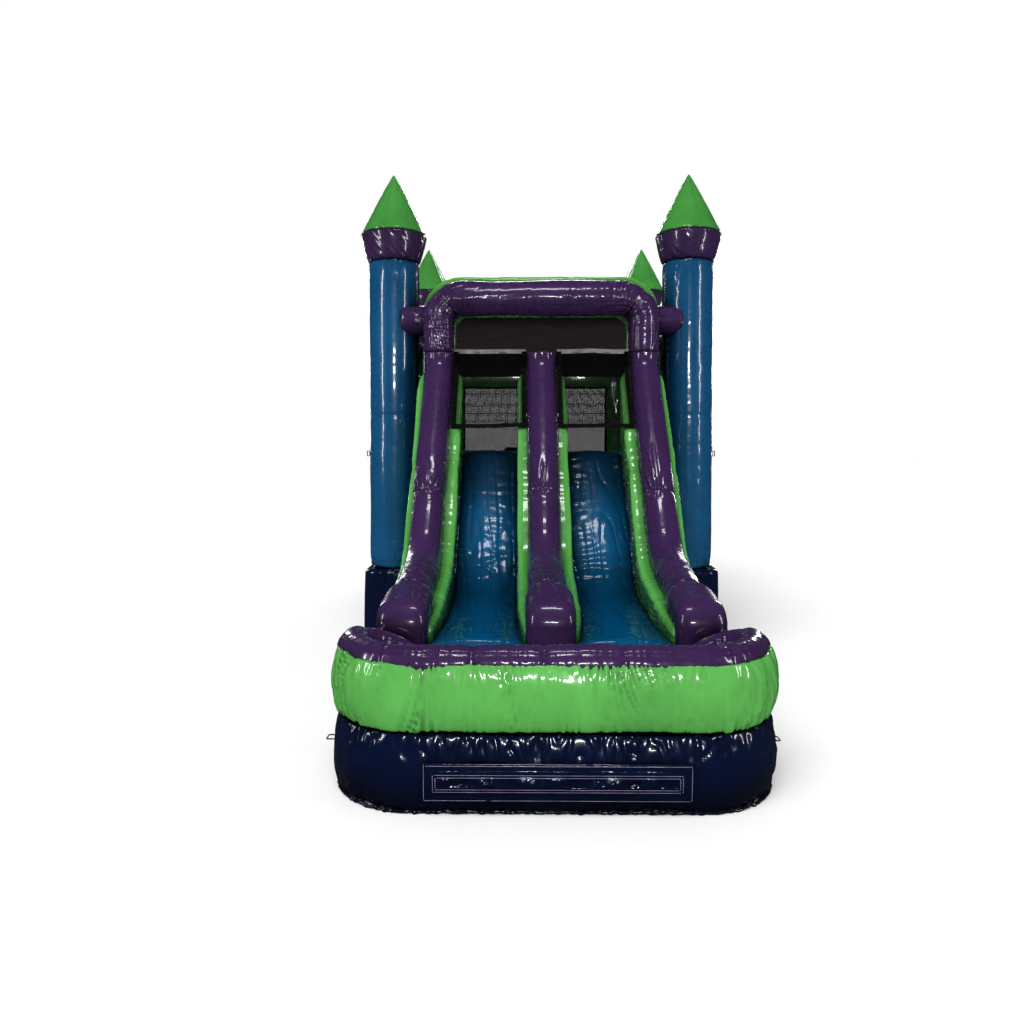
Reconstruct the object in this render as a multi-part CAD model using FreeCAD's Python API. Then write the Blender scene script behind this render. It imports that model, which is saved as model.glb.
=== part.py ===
"""An inflatable bounce house with a climbing wall, a two-lane slide and a small landing pool.

Millimetres, +Z up. The origin is on the ground under the middle of the square house. +Y runs from
the slide end (-Y) to the entrance (+Y), and +X is to the right for somebody looking along +Y.
Each sub-part is one STEP file, parts/NODE.step.
"""
import FreeCAD, Part

import math
import os

Vector = FreeCAD.Vector

# ---------------------------------------------------------------- driving dimensions

# the house
HOUSE_HALF = 1890            # half of the square on whose corners the towers stand
BASE_HALF = 1925             # the base bulges past the towers at the sides and the rear
BASE_CORNER = 130
BASE_TOP = 935               # top of the base and of the bounce floor
FLOOR_PAD = 50               # thickness of the bounce floor's own skin and foam
TOWER_AT = 1610              # tower axes, in x and in y, from the house's middle
TOWER_RADIUS = 280
COLLAR_BOTTOM = 4257
CONE_BOTTOM = 4540
CONE_RADIUS = 352
CONE_TOP = 5210
CONE_TIP = 12
BEAM_RADIUS = 143
BEAM_HEIGHT = 3608
ROOF_OVER_BEAM = 70          # the roof sheet lies this far over the beams' axes

# the walls
NET_PLANE = 1700             # distance of the wall nets from the middle
NET_HALF = 1100
NET_TOP = 3135
HEADER_TOP = 3500             # the frames' headers reach up under the beams
POST_OUTER = 1353
FRAME_IN, FRAME_OUT = 90, 60             # the frames' reach on both sides of the net
DOOR_HALF = 450
DOOR_TOP = 2185
DOOR_GAP = 6

# the slide
SLIDE_END = -4600            # y where both lanes meet the pool
SLIDE_BACK = -HOUSE_HALF - 1
SLIDE_BASE_HALF = 1340
BAND_HEIGHT = 506            # top of the dark band round the slide and the pool
DECK_TOP = 2200
LANE_LIP = (-2150, DECK_TOP)             # y, z where the steep part starts
LANE_KNEE = (-3160, 930)                 # where it would meet the run-out
LANE_END = (SLIDE_END, 870)
LANE_INNER = 252                         # lane edges, from the middle plane
LANE_OUTER = 828
LIP_RADIUS = 160
KNEE_RADIUS = 650
WALL_OUTER = 1300

# the arch and the rails
ARCH_Y = -HOUSE_HALF + 5     # plane of the arch over the slide's top
ARCH_HALF = 1090             # leg axes
ARCH_TOP = 3840              # axis of the crossbar
ARCH_FOOT = 3240             # where the legs become the outer rails
ARCH_CORNER = 260
TUBE_RADIUS = 165
RAIL_STRAIGHT = 150                      # a rail hangs straight down this far before it slopes
RAIL_BEND = 400
RAIL_KNEE = (-3200, 1200)
RAIL_END = (SLIDE_END + 175, 985)
NOSE_HALF = 190                          # the blunt block at a rail's lower end
NOSE_BACK = SLIDE_END + 340
NOSE_BOTTOM, NOSE_TOP = 600, 1160
NOSE_ROUND = 80
PANEL_DEPTH = 149                        # the wall panel behind the arch
PANEL_HALF = 1300
PANEL_TOP = 4110
PANEL_CORNER = 330
PASSAGE_HALF = 925
PASSAGE_TOP = 3660
PASSAGE_CORNER = 130
LANE_NET_FOOT = 2464
LANE_NET_LAP = 20                        # the lane nets' hems reach up past the rails' heads
STUB_START = 1180

# the climbing wall and the step
CLIMB_FOOT = -760            # y where the climbing wall meets the floor
CLIMB_HEAD = -1480           # y where it reaches the deck
CLIMB_HALF = 920
DECK_BACK = ARCH_Y + 8
BAR_RADIUS = 75
BAR_SPAN = (120, 760)        # from the middle plane
STEP_HALF = 620
STEP_DEPTH = 759
STEP_TOP = 460
STEP_ROUND = 60

# the pool
POOL_FRONT = -5416
POOL_HALF = 1500
POOL_CORNER = 600
POOL_FLOOR_TOP = 300
RIM_CREST = 1025
RIM_RADIUS = 120
BANNER_HALF, BANNER_LOW, BANNER_HIGH = 825, 104, 336
BANNER_THICK = 8.5
WINDOW_HALF, WINDOW_LOW, WINDOW_HIGH, WINDOW_DEEP = 750, 135, 305, 3

# sheets, skins and clearances
SKIN = 10                    # wall of the chambers that are drawn hollow
WEB = 4                      # inner baffle sheets
NET = 8                      # netting with its hem
ROOF_THICK = 6
LAP = 0.5                    # what is sewn on stands this far off the skin
GAP = 1.0                    # running clearance round small moving pieces

# webbing, rings and the zip
ANCHOR_HEIGHT = 230
RING_WIRE = 5
RING_HALF = 38
RING_REACH = 62
RING_CORNER = 12
STRAP_HALF = 24
STRAP_REACH = 90             # above and below the ring
WEBBING = 4
BAR_OUT = 16                 # from the wall to the ring's straight bar
LOOP_HALF, LOOP_OUT = 15, 30
LOOP_LOW, LOOP_HIGH = 2140, 2200
ANCHORS = {
    "pool_left": (-1, POOL_HALF, -4750),
    "pool_right": (1, POOL_HALF, -4750),
    "rear_left": (-1, BASE_HALF, 1300),
    "rear_right": (1, BASE_HALF, 1300),
}
ZIP_X = (-1560, -760)
ZIP_Z = 420
ZIP_FACE = BASE_HALF + LAP
ZIP_MARGIN = 30
TAPE_HALF, TAPE_THICK = 32, 3
TEETH_HALF, TEETH_HIGH = 5, 4

# the blower
BLOWER_X = 1250
BLOWER_Y = 2760
BLOWER_Z = 275
BLOWER_RADIUS = 215
BLOWER_HALF = 130            # half of the housing's width
SHEET = 4                    # the blower's moulded wall
OUTLET = 105                 # half of the square outlet
OUTLET_Y = 2440
OUTLET_Z = BLOWER_Z - BLOWER_RADIUS + OUTLET + 2
INLET_RADIUS = 110
IMPELLER_RADIUS = 150
IMPELLER_X = (BLOWER_X - 70, BLOWER_X + 85)
HUB_LENGTH, HUB_RADIUS = 40, 22
SHAFT_RADIUS = 8
MOTOR_RADIUS = 78
MOTOR_LENGTH = 150
SWITCH_X = BLOWER_X - BLOWER_HALF - MOTOR_LENGTH / 2
SLEEVE_RADIUS = OUTLET + 50
SLEEVE_Z = OUTLET_Z + 10
CLOTH = 6                    # the sleeve's doubled fabric

# ---------------------------------------------------------------- helpers


def box(x, y, z):
    """A box from three (low, high) pairs."""
    return Part.makeBox(x[1] - x[0], y[1] - y[0], z[1] - z[0], Vector(x[0], y[0], z[0]))


def rod(start, end, radius):
    """A round bar between two points."""
    start, end = Vector(start), Vector(end)
    return Part.makeCylinder(radius, (end - start).Length, start, end - start)


def rounded_wire(points, radii, closed=False):
    """Straight runs joined by tangent arcs: one radius, or one for each corner (0 is sharp)."""
    count = len(points)
    corners = list(range(count) if closed else range(1, count - 1))
    if not isinstance(radii, (list, tuple)):
        radii = [radii] * len(corners)
    leaves = {i: (points[i], points[i]) for i in range(count)}
    arcs = {}
    for i, radius in zip(corners, radii):
        if radius == 0:
            continue
        before = (points[i - 1] - points[i]).normalize()
        after = (points[(i + 1) % count] - points[i]).normalize()
        half = before.getAngle(after) / 2
        reach = radius / math.tan(half)
        middle = (before + after).normalize()
        nearest = points[i] + middle * (radius / math.sin(half) - radius)
        leaves[i] = (points[i] + before * reach, points[i] + after * reach)
        arcs[i] = Part.Arc(leaves[i][0], nearest, leaves[i][1]).toShape()
    edges = []
    for i in range(count):
        if i in arcs:
            edges.append(arcs[i])
        if i + 1 < count or closed:
            edges.append(Part.makeLine(leaves[i][1], leaves[(i + 1) % count][0]))
    return Part.Wire(edges)


def tube(wire, radius):
    """A round bar that follows a wire."""
    first = wire.Edges[0]
    start = first.valueAt(first.FirstParameter)
    along = first.tangentAt(first.FirstParameter)
    section = Part.Wire(Part.Circle(start, along, radius).toShape())
    return wire.makePipeShell([section], True, True)


def side_plate(outline, low_x, high_x, radii=0):
    """A closed outline of (y, z) points, as thick as from low_x to high_x."""
    points = [Vector(low_x, y, z) for y, z in outline]
    face = Part.Face(rounded_wire(points, radii, closed=True))
    return face.extrude(Vector(high_x - low_x, 0, 0))


def plan_plate(wire, low_z, high_z):
    """A closed wire drawn at z = 0, as tall as from low_z to high_z."""
    plate = Part.Face(wire).extrude(Vector(0, 0, high_z - low_z))
    plate.translate(Vector(0, 0, low_z))
    return plate


def front_plate(outline, low_y, high_y, radii=0):
    """A closed outline of (x, z) points, as thick as from low_y to high_y."""
    points = [Vector(x, low_y, z) for x, z in outline]
    face = Part.Face(rounded_wire(points, radii, closed=True))
    return face.extrude(Vector(0, high_y - low_y, 0))


def mirrored(shape):
    """The same shape on the other side of the middle plane x = 0."""
    return shape.mirror(Vector(0, 0, 0), Vector(1, 0, 0))


def turned(shape, degrees, centre=(0, 0, 0), axis=(0, 0, 1)):
    """A turned copy."""
    copy = shape.copy()
    copy.rotate(Vector(centre), Vector(axis), degrees)
    return copy


# ---------------------------------------------------------------- the house


def tower():
    """A round column, drawn hollow, on the house's corner at +x, +y."""
    foot = Vector(TOWER_AT, TOWER_AT, BASE_TOP)
    height = COLLAR_BOTTOM - BASE_TOP
    outer = Part.makeCylinder(TOWER_RADIUS, height, foot)
    inner = Part.makeCylinder(TOWER_RADIUS - SKIN, height - 2 * SKIN, foot + Vector(0, 0, SKIN))
    return outer.cut(inner)


def tower_collar():
    """The ring under the roof, which widens upwards."""
    height = CONE_BOTTOM - COLLAR_BOTTOM
    foot = Vector(TOWER_AT, TOWER_AT, COLLAR_BOTTOM)
    return Part.makeCone(TOWER_RADIUS + 5, CONE_RADIUS - 7, height, foot)


def tower_cone():
    """The pointed roof, with a blunt sewn tip."""
    height = CONE_TOP - CONE_BOTTOM
    foot = Vector(TOWER_AT, TOWER_AT, CONE_BOTTOM)
    return Part.makeCone(CONE_RADIUS, CONE_TIP, height, foot)


def at_corners(shape):
    """Front-left, front-right, rear-right and rear-left copies of a piece made at +x, +y."""
    quarters = {"front_left": 180, "front_right": 270, "rear_right": 0, "rear_left": 90}
    return {corner: turned(shape, angle) for corner, angle in quarters.items()}


def without_towers(shape, towers):
    """What is left of a shape outside the towers' columns."""
    for tower_shape in towers.values():
        shape = shape.cut(Part.Solid(tower_shape.Solids[0].OuterShell))
    return shape


def base_outline(inset):
    """The base in plan, moved in by an inset."""
    side, front, rear = BASE_HALF - inset, -HOUSE_HALF + inset, BASE_HALF - inset
    corners = [(-side, front), (side, front), (side, rear), (-side, rear)]
    return rounded_wire([Vector(x, y, 0) for x, y in corners], BASE_CORNER - inset, closed=True)


def house_base():
    """The square skirt with its ground sheet, an open tray that the bounce floor closes."""
    outer = plan_plate(base_outline(0), 0, BASE_TOP)
    inner = plan_plate(base_outline(SKIN), SKIN, BASE_TOP)
    return outer.cut(inner)


def bounce_floor():
    """The top of the base, which the towers stand on."""
    return plan_plate(base_outline(SKIN), BASE_TOP - FLOOR_PAD, BASE_TOP)


def floor_baffles(count=9):
    """Upright sheets inside the base, which keep its top flat."""
    reach = HOUSE_HALF - SKIN - 60
    pitch = 2 * reach / (count + 1)
    sheets = []
    for i in range(count):
        x = -reach + (i + 1) * pitch
        sheets.append(box((x - WEB / 2, x + WEB / 2), (-reach, reach), (SKIN, BASE_TOP - FLOOR_PAD)))
    return Part.makeCompound(sheets)


def top_beam(towers):
    """The tube between two towers at the rear, flush with their outer faces."""
    y = TOWER_AT + TOWER_RADIUS - BEAM_RADIUS
    beam = rod((-TOWER_AT, y, BEAM_HEIGHT), (TOWER_AT, y, BEAM_HEIGHT), BEAM_RADIUS)
    return without_towers(beam, towers)


def wall_frame(towers, beam):
    """The window frame of the rear wall: two posts and a header, between the towers and under the beam."""
    outline = [
        (-POST_OUTER, BASE_TOP),
        (-POST_OUTER, HEADER_TOP),
        (POST_OUTER, HEADER_TOP),
        (POST_OUTER, BASE_TOP),
        (NET_HALF, BASE_TOP),
        (NET_HALF, NET_TOP),
        (-NET_HALF, NET_TOP),
        (-NET_HALF, BASE_TOP),
    ]
    frame = front_plate(outline, NET_PLANE - FRAME_IN, NET_PLANE + FRAME_OUT)
    return without_towers(frame.cut(beam), towers)


def wall_net():
    """A wall's netting, from the floor to the frame's header."""
    half = NET_HALF - 1
    return box((-half, half), (NET_PLANE, NET_PLANE + NET), (BASE_TOP, NET_TOP - 1))


def rear_net():
    """The rear wall's netting, with the way in cut out of it."""
    doorway = box((-DOOR_HALF, DOOR_HALF), (NET_PLANE - 1, NET_PLANE + NET + 1), (BASE_TOP - 1, DOOR_TOP))
    return wall_net().cut(doorway)


def entrance_door():
    """The net flap in the doorway, sewn along its upright edge at -x."""
    across = (-DOOR_HALF + DOOR_GAP, DOOR_HALF - DOOR_GAP)
    upright = (BASE_TOP + DOOR_GAP, DOOR_TOP - DOOR_GAP)
    return box(across, (NET_PLANE, NET_PLANE + NET), upright)


def roof_sheet(backing):
    """The dark sheet over the house, between the top beams."""
    half = TOWER_AT + TOWER_RADIUS - 2 * BEAM_RADIUS - 1
    low = BEAM_HEIGHT + ROOF_OVER_BEAM
    sheet = box((-half, half), (-half, half), (low, low + ROOF_THICK))
    for x in (-TOWER_AT, TOWER_AT):
        for y in (-TOWER_AT, TOWER_AT):
            sheet = sheet.cut(rod((x, y, BASE_TOP), (x, y, CONE_BOTTOM), TOWER_RADIUS + 1))
    return max(sheet.cut(backing).Solids, key=lambda solid: solid.Volume)


def soft_block(half_x, y, z, inset, radius):
    """A box with all its edges rounded, moved in by an inset."""
    block = box((inset - half_x, half_x - inset), (y[0] + inset, y[1] - inset), (z[0] + inset, z[1] - inset))
    return block.makeFillet(radius - inset, block.Edges)


def entrance_step():
    """The soft step outside the doorway, drawn hollow."""
    y = (BASE_HALF + 1, BASE_HALF + 1 + STEP_DEPTH)
    outer = soft_block(STEP_HALF, y, (0, STEP_TOP), 0, STEP_ROUND)
    inner = soft_block(STEP_HALF, y, (0, STEP_TOP), SKIN, STEP_ROUND)
    return outer.cut(inner)


def climbing_outline(inset=0):
    """The climbing wall and deck in side view: the slope is the last edge."""
    slope = math.atan2(DECK_TOP - BASE_TOP, CLIMB_FOOT - CLIMB_HEAD)
    shift = inset / math.tan(slope / 2)
    level = inset * math.tan(slope / 2)
    return [
        (CLIMB_FOOT - shift, BASE_TOP + inset),
        (DECK_BACK + inset, BASE_TOP + inset),
        (DECK_BACK + inset, DECK_TOP - inset),
        (CLIMB_HEAD - level, DECK_TOP - inset),
    ]


def climbing_wall():
    """The wedge inside the house that leads up to the slide, drawn hollow."""
    outer = side_plate(climbing_outline(), -CLIMB_HALF, CLIMB_HALF)
    inner = side_plate(climbing_outline(SKIN), -CLIMB_HALF + SKIN, CLIMB_HALF - SKIN)
    return outer.cut(inner)


def climbing_steps(rows=3):
    """Soft half-round bars across the climbing wall, one pair of solids per row."""
    run, rise = CLIMB_HEAD - CLIMB_FOOT, DECK_TOP - BASE_TOP
    slope = math.degrees(math.atan2(rise, -run))
    face_out = 270 - slope       # a half cylinder is made with its round side towards -Y
    clearance = Vector(0, rise, -run).normalize()
    steps = []
    for row in range(rows):
        part = (row + 1) / (rows + 1)
        foot = Vector(0, CLIMB_FOOT + run * part, BASE_TOP + rise * part) + clearance
        for low, high in (BAR_SPAN, (-BAR_SPAN[1], -BAR_SPAN[0])):
            start = Vector(low, foot.y, foot.z)
            half_bar = Part.makeCylinder(BAR_RADIUS, high - low, start, Vector(1, 0, 0), 180)
            steps.append(turned(half_bar, face_out, start, (1, 0, 0)))
    return Part.makeCompound(steps)


# ---------------------------------------------------------------- the slide


def rail_path(x):
    """The axis of a rail, from the arch's foot over the knee to its blunt end."""
    points = [(ARCH_Y, ARCH_FOOT), (ARCH_Y, ARCH_FOOT - RAIL_STRAIGHT), RAIL_KNEE, RAIL_END]
    return rounded_wire([Vector(x, y, z) for y, z in points], [RAIL_BEND, KNEE_RADIUS])


def rail(x):
    """A tube over the slide, with a wider blunt nose towards the pool."""
    nose = soft_block(NOSE_HALF, (SLIDE_END, NOSE_BACK), (NOSE_BOTTOM, NOSE_TOP), 0, NOSE_ROUND)
    nose.translate(Vector(x, 0, 0))
    return tube(rail_path(x), TUBE_RADIUS).fuse(nose)


def wall_side(low_x, high_x):
    """A slide wall from one x to another: its top edge is the axis of the rail that stands on it."""
    outline = [
        (SLIDE_BACK, BAND_HEIGHT),
        (SLIDE_BACK, ARCH_FOOT - RAIL_STRAIGHT - 20),
        RAIL_KNEE,
        RAIL_END,
        (SLIDE_END, RAIL_END[1] - 60),
        (SLIDE_END, BAND_HEIGHT),
    ]
    return side_plate(outline, low_x, high_x, [0, 0, KNEE_RADIUS, 0, 0, 0])


def slide_wall(rail_on_top):
    """The inflated wall under the rail at +x."""
    return wall_side(LANE_OUTER, WALL_OUTER).cut(rail_on_top)


def slide_divider(rail_on_top):
    """The inflated wall between the lanes."""
    return wall_side(-LANE_INNER, LANE_INNER).cut(rail_on_top)


def lane():
    """The bed of the lane at +x: a deck, the steep part, the run-out and its toe."""
    outline = [
        (SLIDE_BACK, BAND_HEIGHT),
        (SLIDE_BACK, DECK_TOP),
        LANE_LIP,
        LANE_KNEE,
        LANE_END,
        (SLIDE_END, BAND_HEIGHT),
    ]
    return side_plate(outline, LANE_INNER, LANE_OUTER, [0, 0, LIP_RADIUS, KNEE_RADIUS, 0, 0])


def slide_base():
    """The dark chamber that the slide stands on, drawn hollow."""
    half = SLIDE_BASE_HALF
    outer = box((-half, half), (SLIDE_END, SLIDE_BACK), (0, BAND_HEIGHT))
    inner = box(
        (SKIN - half, half - SKIN),
        (SLIDE_END + SKIN, SLIDE_BACK - SKIN),
        (SKIN, BAND_HEIGHT - SKIN),
    )
    return outer.cut(inner)


def slide_baffles(count=5):
    """Upright sheets inside the slide's base."""
    start, end = SLIDE_END + SKIN, SLIDE_BACK - SKIN - 40
    across = (SKIN - SLIDE_BASE_HALF, SLIDE_BASE_HALF - SKIN)
    sheets = []
    for i in range(count):
        y = start + (end - start) * (i + 1) / (count + 1)
        sheets.append(box(across, (y - WEB / 2, y + WEB / 2), (SKIN, BAND_HEIGHT - SKIN)))
    return Part.makeCompound(sheets)


def arch_tube():
    """The tube over the slide's top, whose legs go on as the outer rails."""
    corners = [
        (-ARCH_HALF, ARCH_FOOT),
        (-ARCH_HALF, ARCH_TOP),
        (ARCH_HALF, ARCH_TOP),
        (ARCH_HALF, ARCH_FOOT),
    ]
    return tube(rounded_wire([Vector(x, ARCH_Y, z) for x, z in corners], ARCH_CORNER), TUBE_RADIUS)


def arch_backing(towers):
    """The wall panel behind the arch, an upside-down U that reaches down to the floor."""
    outline = [
        (-PANEL_HALF, BASE_TOP),
        (-PANEL_HALF, PANEL_TOP),
        (PANEL_HALF, PANEL_TOP),
        (PANEL_HALF, BASE_TOP),
        (PASSAGE_HALF, BASE_TOP),
        (PASSAGE_HALF, PASSAGE_TOP),
        (-PASSAGE_HALF, PASSAGE_TOP),
        (-PASSAGE_HALF, BASE_TOP),
    ]
    radii = [0, PANEL_CORNER, PANEL_CORNER, 0, 0, PASSAGE_CORNER, PASSAGE_CORNER, 0]
    low = ARCH_Y + TUBE_RADIUS + 1
    return without_towers(front_plate(outline, low, low + PANEL_DEPTH, radii), towers)


def front_beam(towers, arch, backing):
    """The two stubs of tube between the front towers and the arch."""
    y = -TOWER_AT - TOWER_RADIUS + BEAM_RADIUS
    stubs = []
    for side in (-1, 1):
        stub = rod((side * STUB_START, y, BEAM_HEIGHT), (side * TOWER_AT, y, BEAM_HEIGHT), BEAM_RADIUS)
        stub = without_towers(stub, towers).cut(arch).cut(backing)
        stubs.append(max(stub.Solids, key=lambda solid: solid.Volume))
    return Part.makeCompound(stubs)


def lane_net():
    """The safety net over the top of the lane at +x, which lies between two rails."""
    head, bend = ARCH_FOOT + LANE_NET_LAP, ARCH_FOOT - RAIL_STRAIGHT
    slope = (ARCH_Y - RAIL_KNEE[0]) / (bend - RAIL_KNEE[1])
    foot_y = ARCH_Y - (bend - LANE_NET_FOOT) * slope
    outline = [
        (ARCH_Y, head),
        (ARCH_Y, bend),
        (foot_y, LANE_NET_FOOT),
        (foot_y - NET, LANE_NET_FOOT),
        (ARCH_Y - NET, bend),
        (ARCH_Y - NET, head),
    ]
    return side_plate(outline, TUBE_RADIUS + 1, ARCH_HALF - TUBE_RADIUS - 1)


# ---------------------------------------------------------------- the pool


def pool_path(inset):
    """The pool's outline from its left end round the front to its right end, moved in by an inset."""
    half, front, back = POOL_HALF - inset, POOL_FRONT + inset, SLIDE_END - 1
    corners = [(-half, back), (-half, front), (half, front), (half, back)]
    return rounded_wire([Vector(x, y, 0) for x, y in corners], POOL_CORNER - inset)


def pool_plate(inset, low_z, high_z):
    """Everything inside the pool's outline, as a plate."""
    path = pool_path(inset)
    half, back = POOL_HALF - inset, SLIDE_END - 1
    close = Part.makeLine(Vector(half, back, 0), Vector(-half, back, 0))
    return plan_plate(Part.Wire(path.Edges + [close]), low_z, high_z)


def pool_ring(low_z, high_z):
    """A wall on three sides of the pool."""
    return pool_plate(0, low_z, high_z).cut(pool_plate(2 * RIM_RADIUS, low_z - 1, high_z + 1))


def pool_rim():
    """The round tube on top of the pool's wall."""
    path = pool_path(RIM_RADIUS)
    path.translate(Vector(0, 0, RIM_CREST - RIM_RADIUS))
    return tube(path, RIM_RADIUS)


def pool_floor():
    """The pad at the bottom of the pool."""
    return pool_plate(2 * RIM_RADIUS + 1, 0, POOL_FLOOR_TOP)


def banner_panel():
    """The sewn panel with a raised frame on the pool's front."""
    face = POOL_FRONT - LAP
    front = face - BANNER_THICK
    plate = box((-BANNER_HALF, BANNER_HALF), (front, face), (BANNER_LOW, BANNER_HIGH))
    window = box((-WINDOW_HALF, WINDOW_HALF), (front - 1, front + WINDOW_DEEP), (WINDOW_LOW, WINDOW_HIGH))
    return plate.cut(window)


# ---------------------------------------------------------------- anchors, loops and the zip


def anchor_ring(side, wall, y):
    """A D ring whose straight bar lies in the strap's loop, along the wall."""
    near, far = wall + BAR_OUT, wall + BAR_OUT + RING_REACH
    corners = [(near, y - RING_HALF), (near, y + RING_HALF), (far, y + RING_HALF), (far, y - RING_HALF)]
    wire = rounded_wire([Vector(x, at_y, ANCHOR_HEIGHT) for x, at_y in corners], RING_CORNER, closed=True)
    ring = tube(wire, RING_WIRE)
    return ring if side > 0 else mirrored(ring)


def anchor_strap(side, wall, y):
    """Webbing sewn flat on the wall, with a loop round the ring's bar."""
    bar, face = wall + BAR_OUT, wall + LAP
    low, high = y - STRAP_HALF, y + STRAP_HALF
    upright = (ANCHOR_HEIGHT - STRAP_REACH, ANCHOR_HEIGHT + STRAP_REACH)
    patch = box((face, face + WEBBING), (low, high), upright)
    loop = rod((bar, low, ANCHOR_HEIGHT), (bar, high, ANCHOR_HEIGHT), RING_WIRE + GAP + WEBBING - 1)
    neck = box((face, bar), (low, high), (ANCHOR_HEIGHT - 1.5 * WEBBING, ANCHOR_HEIGHT + 1.5 * WEBBING))
    hole = rod((bar, low - 1, ANCHOR_HEIGHT), (bar, high + 1, ANCHOR_HEIGHT), RING_WIRE + GAP)
    strap = patch.fuse([loop, neck]).cut(hole)
    return strap if side > 0 else mirrored(strap)


def tower_loops():
    """Small webbing loops half way up the towers' outer sides, for guy ropes."""
    near = TOWER_AT + TOWER_RADIUS + LAP
    far = near + LOOP_OUT
    loops = []
    for y in (-TOWER_AT, TOWER_AT):
        outer = box((near, far), (y - LOOP_HALF, y + LOOP_HALF), (LOOP_LOW, LOOP_HIGH))
        hole = box(
            (near + WEBBING, far - WEBBING),
            (y - LOOP_HALF - 1, y + LOOP_HALF + 1),
            (LOOP_LOW + 1.5 * WEBBING, LOOP_HIGH - 1.5 * WEBBING),
        )
        loop = outer.cut(hole)
        loops += [loop, mirrored(loop)]
    return Part.makeCompound(loops)


def deflation_zip():
    """The zip in the base's rear wall: a tape with one raised row of teeth."""
    tape_face = ZIP_FACE + TAPE_THICK
    across = (ZIP_X[0] - ZIP_MARGIN, ZIP_X[1] + ZIP_MARGIN)
    tape = box(across, (ZIP_FACE, tape_face), (ZIP_Z - TAPE_HALF, ZIP_Z + TAPE_HALF))
    teeth = box(ZIP_X, (tape_face, tape_face + TEETH_HIGH), (ZIP_Z - TEETH_HALF, ZIP_Z + TEETH_HALF))
    return tape.fuse(teeth)


def zip_slider():
    """The slider that rides over the teeth, with its pull tab."""
    tape_face = ZIP_FACE + TAPE_THICK
    teeth_face = tape_face + TEETH_HIGH
    low, high = ZIP_X[0] + 4, ZIP_X[0] + 38
    body = box((low, high), (tape_face + GAP, teeth_face + 7), (ZIP_Z - 14, ZIP_Z + 14))
    groove = box(
        (low - 1, high + 1),
        (tape_face, teeth_face + GAP),
        (ZIP_Z - TEETH_HALF - GAP, ZIP_Z + TEETH_HALF + GAP),
    )
    pull = box((low + 12, low + 22), (teeth_face + 3, teeth_face + 6), (ZIP_Z - 62, ZIP_Z - 10))
    return body.cut(groove).fuse(pull)


# ---------------------------------------------------------------- the blower


def on_shaft(x):
    """The point of the blower's axis at this x."""
    return (x, BLOWER_Y, BLOWER_Z)


def blower_hollow(inset):
    """The scroll and its outlet duct, moved in by an inset."""
    across = BLOWER_HALF - inset
    drum = rod(on_shaft(BLOWER_X - across), on_shaft(BLOWER_X + across), BLOWER_RADIUS - inset)
    reach = OUTLET - inset
    duct = box(
        (BLOWER_X - reach, BLOWER_X + reach),
        (OUTLET_Y - inset, BLOWER_Y),
        (OUTLET_Z - reach, OUTLET_Z + reach),
    )
    return drum.fuse(duct)


def blower_housing():
    """A moulded snail shell with an outlet, an inlet and a hole for the motor."""
    shell = blower_hollow(0).cut(blower_hollow(SHEET))
    outlet = box(
        (BLOWER_X - OUTLET + SHEET, BLOWER_X + OUTLET - SHEET),
        (OUTLET_Y - 1, OUTLET_Y + 20),
        (OUTLET_Z - OUTLET + SHEET, OUTLET_Z + OUTLET - SHEET),
    )
    side = BLOWER_X + BLOWER_HALF
    inlet = rod(on_shaft(side - 10), on_shaft(side + 1), INLET_RADIUS)
    back = BLOWER_X - BLOWER_HALF
    motor_hole = rod(on_shaft(back - 1), on_shaft(back + 10), MOTOR_RADIUS + LAP)
    return shell.cut(outlet).cut(inlet).cut(motor_hole)


def blower_handle():
    """The carry handle over the housing."""
    crest = BLOWER_Z + BLOWER_RADIUS
    half, low, high, grip_radius = 85, crest - 40, crest + 62, 13
    outline = [(-half, low), (-half, high), (half, high), (half, low)]
    points = [Vector(BLOWER_X, BLOWER_Y + y, z) for y, z in outline]
    return tube(rounded_wire(points, 30), grip_radius).cut(blower_hollow(-0.2))


def blower_impeller(blades=24):
    """A drum of blades between a back plate with a hub and a front ring."""
    low, high = IMPELLER_X
    inner, outer = IMPELLER_RADIUS - 22, IMPELLER_RADIUS
    plate = rod(on_shaft(low), on_shaft(low + SHEET), outer)
    hub = rod(on_shaft(low), on_shaft(low + HUB_LENGTH), HUB_RADIUS)
    lip = rod(on_shaft(high - SHEET), on_shaft(high), outer)
    lip = lip.cut(rod(on_shaft(high - SHEET - 1), on_shaft(high + 1), inner))
    blade = box(
        (low + SHEET / 2, high - SHEET / 2),
        (BLOWER_Y - 1.5, BLOWER_Y + 1.5),
        (BLOWER_Z + inner - 2, BLOWER_Z + outer - 2),
    )
    vanes = [turned(blade, 360 * i / blades, on_shaft(0), (1, 0, 0)) for i in range(blades)]
    bore = rod(on_shaft(low - 1), on_shaft(low + HUB_LENGTH + 1), SHAFT_RADIUS + 0.3)
    return plate.fuse([hub, lip] + vanes).cut(bore)


def blower_motor():
    """The motor on the housing's flank, with the shaft that carries the impeller."""
    back = BLOWER_X - BLOWER_HALF
    can = rod(on_shaft(back - MOTOR_LENGTH), on_shaft(back + 30), MOTOR_RADIUS)
    shaft = rod(on_shaft(back + 29), on_shaft(IMPELLER_X[0] + HUB_LENGTH), SHAFT_RADIUS)
    return can.fuse(shaft)


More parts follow.
